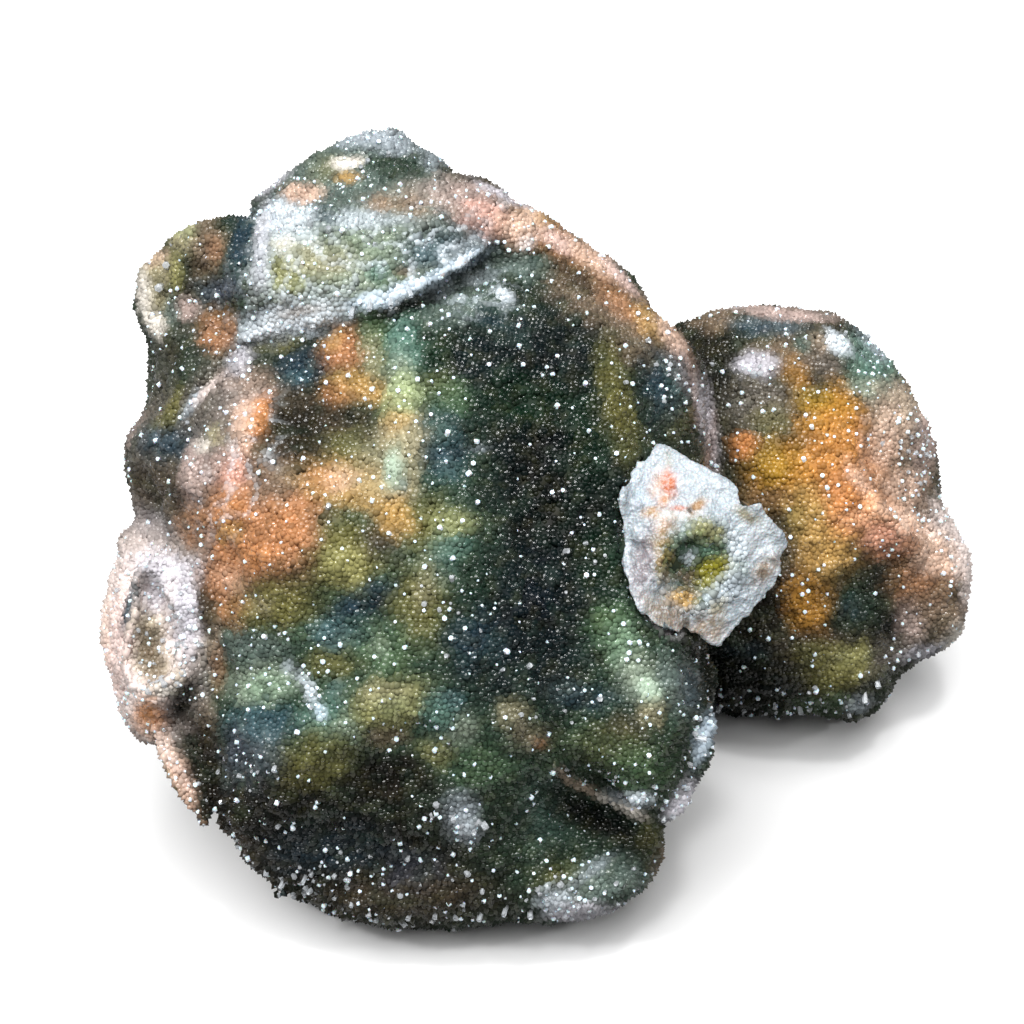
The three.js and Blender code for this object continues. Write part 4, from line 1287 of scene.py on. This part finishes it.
def growing(forms, part, spacing, size, tall, tilt, crowd, dense=None, seed=0):
    """A node group that strews points over the faces of one part and makes them real.

    Each point has its own cell of the map OFBake, which colours can be baked on.
    """
    tree = bpy.data.node_groups.new("growth", "GeometryNodeTree")
    tree.interface.new_socket("Geometry", in_out="INPUT", socket_type="NodeSocketGeometry")
    tree.interface.new_socket("Geometry", in_out="OUTPUT", socket_type="NodeSocketGeometry")
    start = Socket(tree)

    def kept(name, kind):
        return start.node("GeometryNodeInputNamedAttribute", {"data_type": kind}, {"Name": name})

    def keep(geometry, name, kind, value, domain="POINT"):
        settings = {"data_type": kind, "domain": domain}
        inputs = {"Geometry": geometry, "Name": name, "Value": value}
        return start.node("GeometryNodeStoreNamedAttribute", settings, inputs)

    def chance(low, high, number):
        inputs = {2: low, 3: high, "Seed": seed * 10 + number}
        return start.node("FunctionNodeRandomValue", {"data_type": "FLOAT"}, inputs, take=1)

    def vector(x, y, z=0.0):
        return start.node("ShaderNodeCombineXYZ", None, {0: x, 1: y, 2: z})

    surface = start.node("NodeGroupInput")
    same = {"data_type": "INT", "operation": "GREATER_EQUAL" if part == ALL_PARTS else "EQUAL"}
    here = start.node("FunctionNodeCompare", same, {2: kept("share", "INT"), 3: max(part, 0)})
    inputs = {"Mesh": surface, "Selection": here, "Distance Min": spacing, "Seed": seed + part + 1}
    inputs["Density Max"] = crowd / spacing**2
    inputs["Density Factor"] = kept(dense, "FLOAT") if dense else 1.0
    evenly = {"distribute_method": "POISSON"}
    points = start.node("GeometryNodeDistributePointsOnFaces", evenly, inputs)
    upright = Socket(tree, points.output.node.outputs["Rotation"])
    points = keep(points, "tone", "FLOAT", chance(0.0, 1.0, 1))
    points = keep(points, "cell", "INT", start.node("GeometryNodeInputIndex"))

    shapes = start.node("GeometryNodeJoinGeometry")
    for form in forms:
        inputs = {"Object": form, "As Instance": True}
        shape = start.node("GeometryNodeObjectInfo", None, inputs, take="Geometry")
        tree.links.new(shape.output, shapes.output.node.inputs[0])
    lean = vector(chance(-tilt, tilt, 2), chance(-tilt, tilt, 3), chance(0.0, FULL_TURN, 4))
    lean = start.node("FunctionNodeEulerToRotation", None, {0: lean})
    turn = {0: upright, 1: lean}
    turn = start.node("FunctionNodeRotateRotation", {"rotation_space": "LOCAL"}, turn)
    wide = chance(0.0, 1.0, 5)
    wide = wide * wide * (size[1] - size[0]) + size[0]
    scale = vector(wide, wide, wide * chance(*tall, 6))
    inputs = {"Points": points, "Instance": shapes, "Pick Instance": True, "Rotation": turn}
    grown = start.node("GeometryNodeInstanceOnPoints", None, {**inputs, "Scale": scale})
    real = start.node("GeometryNodeRealizeInstances", None, {"Geometry": grown})

    cell = kept("cell", "INT")
    row = start.maths("DIVIDE", cell, CELLS)
    row = start.node("ShaderNodeMath", {"operation": "FLOOR"}, {0: row})
    both = {0: vector(cell - row * CELLS, row), 1: kept("OFBake", "FLOAT_VECTOR")}
    both = start.node("ShaderNodeVectorMath", {"operation": "ADD"}, both)
    both = {0: both, "Scale": 1 / CELLS}
    both = start.node("ShaderNodeVectorMath", {"operation": "SCALE"}, both)
    real = keep(real, "OFBake", "FLOAT2", both, "CORNER")
    start.node("NodeGroupOutput", None, {0: real})
    return tree


def drop_helpers(piece):
    """Removes what only the growing needs: vertex groups and some attributes."""
    piece.vertex_groups.clear()
    for name in ("share", "rich", "bright", "cell"):
        if name in piece.data.attributes:
            piece.data.attributes.remove(piece.data.attributes[name])


def triangles(piece):
    """How many triangles the faces of a piece make."""
    return sum(len(face.vertices) - 2 for face in piece.data.polygons)


def grow(on, name, finish, **settings):
    """A new piece: points grown on another piece, none of them below the ground."""
    piece = copy_of(on, name)
    apply_modifier(piece, "NODES", node_group=growing(**settings))
    keep_off_ground(piece)
    drop_helpers(piece)
    cover_with(piece, finish)
    print(piece.name, "triangles", triangles(piece))
    return piece


# %% Grow the coat
FINE = {
    "forms": tips_of_coat, "spacing": 0.46 * MM, "crowd": 6, "size": (0.56 * MM, 1.0 * MM),
    "tilt": 0.32,
}
LOWEST, TALLEST = 0.65, 1.25
coat = []
for part, (name, (_, tall)) in enumerate(COAT.items()):
    heights = (LOWEST * tall, TALLEST * tall)
    coat.append(grow(stone, "coat_" + name, quartz, part=part, tall=heights, seed=part, **FINE))
coat.append(grow(flake, "coat_pocket", quartz, part=POCKET_PART, tall=(LOWEST, TALLEST), **FINE))

# %% [markdown]
# Larger points are short six-sided prisms with worn tops: stout ones end in a low tip, a
# little to one side, and slim ones in a shallow hollow. Small bright ones stand all over the
# coat; the large ones are clear or milky.

# %% Model a whole quartz point
def quartz_point(name, shoulder, rise):
    """A prism one unit wide, its base at the origin and its top drawn together by a rise."""
    bpy.ops.object.select_all(action="DESELECT")
    bpy.ops.mesh.primitive_cylinder_add(
        vertices=6, radius=0.5, depth=shoulder, location=(0, 0, shoulder / 2)
    )
    point = bpy.context.active_object
    point.name = name
    bpy.ops.object.mode_set(mode="EDIT")
    bpy.ops.mesh.select_mode(type="FACE")
    bpy.ops.mesh.select_all(action="DESELECT")
    bpy.ops.object.mode_set(mode="OBJECT")
    for face in point.data.polygons:
        face.select = face.normal.z > 0.9
    bpy.ops.object.mode_set(mode="EDIT")
    bpy.ops.mesh.extrude_region_move(TRANSFORM_OT_translate={"value": (0.07, 0.04, rise)})
    bpy.ops.mesh.merge(type="CENTER")
    bpy.ops.object.mode_set(mode="OBJECT")
    bpy.ops.object.transform_apply(location=True, rotation=True, scale=True)
    point.data.uv_layers[0].name = "OFBake"
    return point


stout, slim = quartz_point("stout point", 0.62, 0.07), quartz_point("slim point", 0.75, -0.125)
# The bright points are small white milky points: partly real milky quartz and partly painted
# glints, white colour where light catches the coat.
bright_points = grow(
    stone, "bright_points", milky, forms=[stout], part=ALL_PARTS, spacing=0.8 * MM, crowd=0.32,
    size=(0.25 * MM, 0.6 * MM), tall=(1.0, 1.5), tilt=0.5, dense="bright", seed=2,
)
LARGE = {
    "part": ALL_PARTS, "dense": "rich", "size": (0.34 * MM, 0.66 * MM), "tall": (1.1, 1.8),
    "tilt": 0.5,
}
clear_points = grow(
    stone, "clear_points", clear, forms=[stout, slim], spacing=1.3 * MM, crowd=1.2, seed=3, **LARGE
)
milky_points = grow(
    stone, "milky_points", milky, forms=[stout], spacing=1.5 * MM, crowd=0.8, seed=4, **LARGE
)

# %% [markdown]
# The largest points are those of the solid. Each gets a clear point of its own size and
# lean, stout where the tip is blunt and slim where it isn't. It ends a millimetre or more
# below the tip of the solid, or it would stick out of the coat like a hair.

# %% Set clear quartz on the large points of the solid
SHORTEST, LONGEST = 2.2, 2.9
WIDENED, SUNK, BLUNT = 0.6, 0.5, 0.5
own_points = []
tip_places = swelled(np.array([tip for tip, axis, blunt in tips]))
for (_, axis, blunt), place in zip(tips, tip_places):
    length = random.uniform(SHORTEST, LONGEST) * MM
    radius = math.sin(blunt / 2) * length * WIDENED
    tip = Vector(place) - SUNK * MM * axis
    point = copy_of(stout if blunt > BLUNT else slim, "point")
    spin = Matrix.Rotation(random.uniform(0, FULL_TURN), 4, "Z")
    size = Matrix.Diagonal((2 * radius, 2 * radius, length, 1))
    down = Matrix.Translation((0, 0, -1))
    point.data.transform(Matrix.Translation(tip) @ pointing(axis) @ spin @ size @ down)
    own_points.append(point)
select_only(own_points[0])
for point in own_points:
    point.select_set(True)
bpy.ops.object.join()
large_points = own_points[0]
large_points.name = "large_points"
cover_with(large_points, clear)
keep_off_ground(large_points)
print("triangles on tips", triangles(large_points))
for form in (*tips_of_coat, stout, slim):
    bpy.data.objects.remove(form)
for piece in (stone, flake):
    drop_helpers(piece)

# %% [markdown]
# ## Fasten the pieces
# All pieces ride on the one body and stand in for the solid.

# %% Fasten the pieces and finish
for piece in [stone, flake, *coat, bright_points, clear_points, milky_points, large_points]:
    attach(piece, "root")
    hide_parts("chalcedony_druse")
